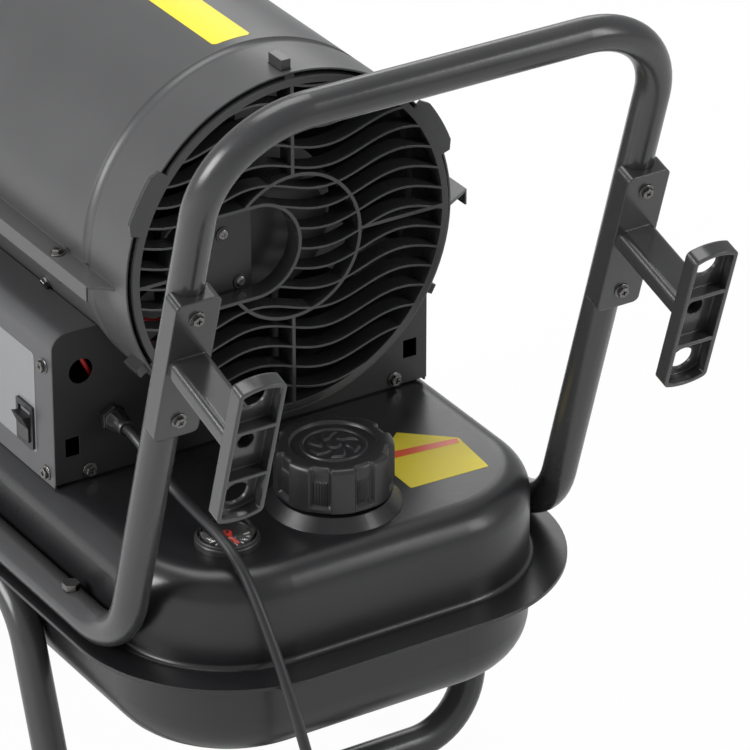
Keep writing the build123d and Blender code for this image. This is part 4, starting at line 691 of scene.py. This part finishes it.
def build_plug(bm):
    """Six ribs of a bend relief, then a round body with three grip grooves."""
    profile = [(3.6, 0.4), (4.6, 0.0), (5.0, 0.5)]
    for k in range(6):
        h = 2.0 + 3.6 * k
        r = 5.0 + 0.62 * k
        profile += [(r, h), (r - 0.9, h + 0.7), (r - 0.9, h + 1.5), (r + 0.4, h + 2.2)]
    profile += [
        (9.2, 24.4), (10.4, 25.3), (14.6, 27.0), (17.0, 29.4), (17.9, 32.5), (17.4, 34.2),
        (17.4, 36.0), (17.9, 37.6), (17.4, 39.2), (17.4, 41.0), (17.9, 42.6), (17.4, 44.2),
        (17.4, 46.0), (18.0, 48.0), (18.45, 50.0), (18.45, 61.6), (17.9, 62.8), (16.6, 63.0),
        (15.6, 62.4), (15.2, 62.2), (0, 62.2)]
    lathe(bm, basis(plug_start, (0, 1, 0)), profile, 72)


def build_pins(bm):
    for side in (-1, 1):
        foot = Vector(plug_start) + Vector((9.5 * side, 62.1, 0))
        lathe(bm, basis(foot, (0, 1, 0)),
              [(2.4, 0), (2.4, 17.2), (2.1, 18.6), (1.2, 19.4), (0, 19.7)], ROUND)


piece_from("gland_relief", build_gland, "black_plastic", "heater", replaces=("cord_gland",))
plug_body = piece_from("plug_body", build_plug, "black_plastic", "heater", replaces=("power_plug",))
plug_pins = piece_from("plug_pins", build_pins, "bright_steel", "heater", replaces=("power_plug",))

# ------------------------------------------------------------------ tyres
# (radius, distance from the middle plane) of half a tyre: bead, side wall, shoulder, tread.
HALF_TYRE = [
    (78.05, 13.0), (79.5, 15.4), (83.0, 18.2), (87.0, 19.7), (91.0, 20.0), (94.0, 19.5),
    (95.2, 19.0), (95.6, 18.7), (97.4, 17.6), (98.4, 16.2), (98.9, 14.6), (99.2, 12.2),
    (99.2, 11.8), (99.3, 10.4), (99.4, 10.0), (99.6, 7.0), (99.7, 4.4), (99.7, 4.0), (99.8, 2.6),
    (99.8, 2.2), (100.0, 0.6)]
GROOVES = (11.8, 10.4, 4.0, 2.6)
BLOCKS, STEPS_PER_BLOCK = 60, 6


def tread_cut(r, across, step):
    """How deep the tread is cut at a place: gaps in its shoulder and middle, and long grooves."""
    cut = 0.0
    if 10.2 < across < 19.3 and r > 95.4 and step < 3:
        cut = 1.7
    elif 4.2 < across < 10.2 and step in (3, 4):
        cut = 1.3
    return cut + (1.6 if across in GROOVES else 0.0)


def build_tyre(side):
    def fill(bm):
        columns = BLOCKS * STEPS_PER_BLOCK
        rings = []
        for r, w in HALF_TYRE + [(r, -w) for r, w in reversed(HALF_TYRE)]:
            ring = []
            for i in range(columns):
                a = 2 * pi * i / columns
                radius = r - tread_cut(r, abs(w), i % STEPS_PER_BLOCK)
                ring.append(bm.verts.new(mm(WHEEL_X + radius * cos(a), side * WHEEL_Y + w,
                                            WHEEL_Z + radius * sin(a))))
            rings.append(ring)
        for a, b in zip(rings, rings[1:] + rings[:1]):
            wall(bm, a, b)
    return fill


for side, name in ((-1, "left"), (1, "right")):
    piece_from("tread_" + name, build_tyre(side), "tyre", name + "_wheel",
               replaces=("tyre_" + name,))

# ------------------------------------------------------------------ floor, light and background
MIRROR_SHARE = 0.4
FLOOR_SHARE = 0.97


def background_share(tree):
    """1 for what the camera or a glass sees, and a part of that for what a gloss mirrors."""
    path = tree.nodes.new("ShaderNodeLightPath")
    mirrored = calculate(tree, "MULTIPLY", path.outputs["Is Glossy Ray"], MIRROR_SHARE)
    seen = calculate(tree, "MAXIMUM", path.outputs["Is Camera Ray"], mirrored)
    return calculate(tree, "MAXIMUM", seen, path.outputs["Is Transmission Ray"])


def build_world():
    """Cool ambient light on the heater, and a white background where the world itself is seen."""
    world = bpy.data.worlds.new("studio")
    world.use_nodes = True
    tree = world.node_tree
    tree.nodes.clear()
    ambient = add_node(tree, "ShaderNodeBackground",
                       {"Color": (0.92, 0.95, 1.0, 1), "Strength": 0.30})
    white = add_node(tree, "ShaderNodeBackground", {"Color": (1, 1, 1, 1), "Strength": 1.0})
    mixer = add_node(tree, "ShaderNodeMixShader", {
        "Fac": background_share(tree), 1: ambient.outputs["Background"],
        2: white.outputs["Background"]})
    add_node(tree, "ShaderNodeOutputWorld", {"Surface": mixer.outputs["Shader"]})
    return world


def build_floor():
    """White floor that glows where it is seen, less a share that keeps the heater's shadow."""
    mesh = bpy.data.meshes.new("floor")
    bm = bmesh.new()
    bmesh.ops.create_grid(bm, x_segments=4, y_segments=4, size=7.0)
    bm.to_mesh(mesh)
    bm.free()
    material, tree, shader = new_material("floor_white")
    feed(tree, shader, {"Base Color": (0.86, 0.86, 0.86, 1), "Roughness": 0.8,
                        "Specular IOR Level": 0.1})
    glow = add_node(tree, "ShaderNodeEmission", {"Color": (1, 1, 1, 1), "Strength": 1.0})
    mixer = add_node(tree, "ShaderNodeMixShader", {
        "Fac": calculate(tree, "MULTIPLY", background_share(tree), FLOOR_SHARE),
        1: shader.outputs["BSDF"], 2: glow.outputs["Emission"]})
    feed(tree, tree.nodes["Material Output"], {"Surface": mixer.outputs["Shader"]})
    mesh.materials.append(material)
    return add_object("floor", mesh)


bpy.context.scene.world = build_world()
floor = build_floor()

# Soft boxes: name, place and size in metres, and power in watts.
SOFTBOXES = (
    ("key_left", (-0.3, -2.7, 1.5), 1.7, 1.3, 88), ("top", (-0.5, 0.1, 2.6), 1.6, 1.6, 34),
    ("right_front", (2.1, 1.7, 1.5), 0.5, 1.6, 24), ("rear_fill", (-2.2, 1.8, 1.8), 1.2, 1.2, 10))
LIGHT_AIM = Vector((0.05, 0.0, 0.3))
for name, place, width, height, power in SOFTBOXES:
    light = bpy.data.lights.new(name, "AREA")
    light.shape = "RECTANGLE"
    light.size, light.size_y = width, height
    light.energy = power
    lamp = add_object(name, light)
    lamp.location = Vector(place)
    lamp.rotation_mode = "QUATERNION"
    lamp.rotation_quaternion = (LIGHT_AIM - Vector(place)).to_track_quat("-Z", "Y")

bpy.context.scene.view_settings.view_transform = "Standard"
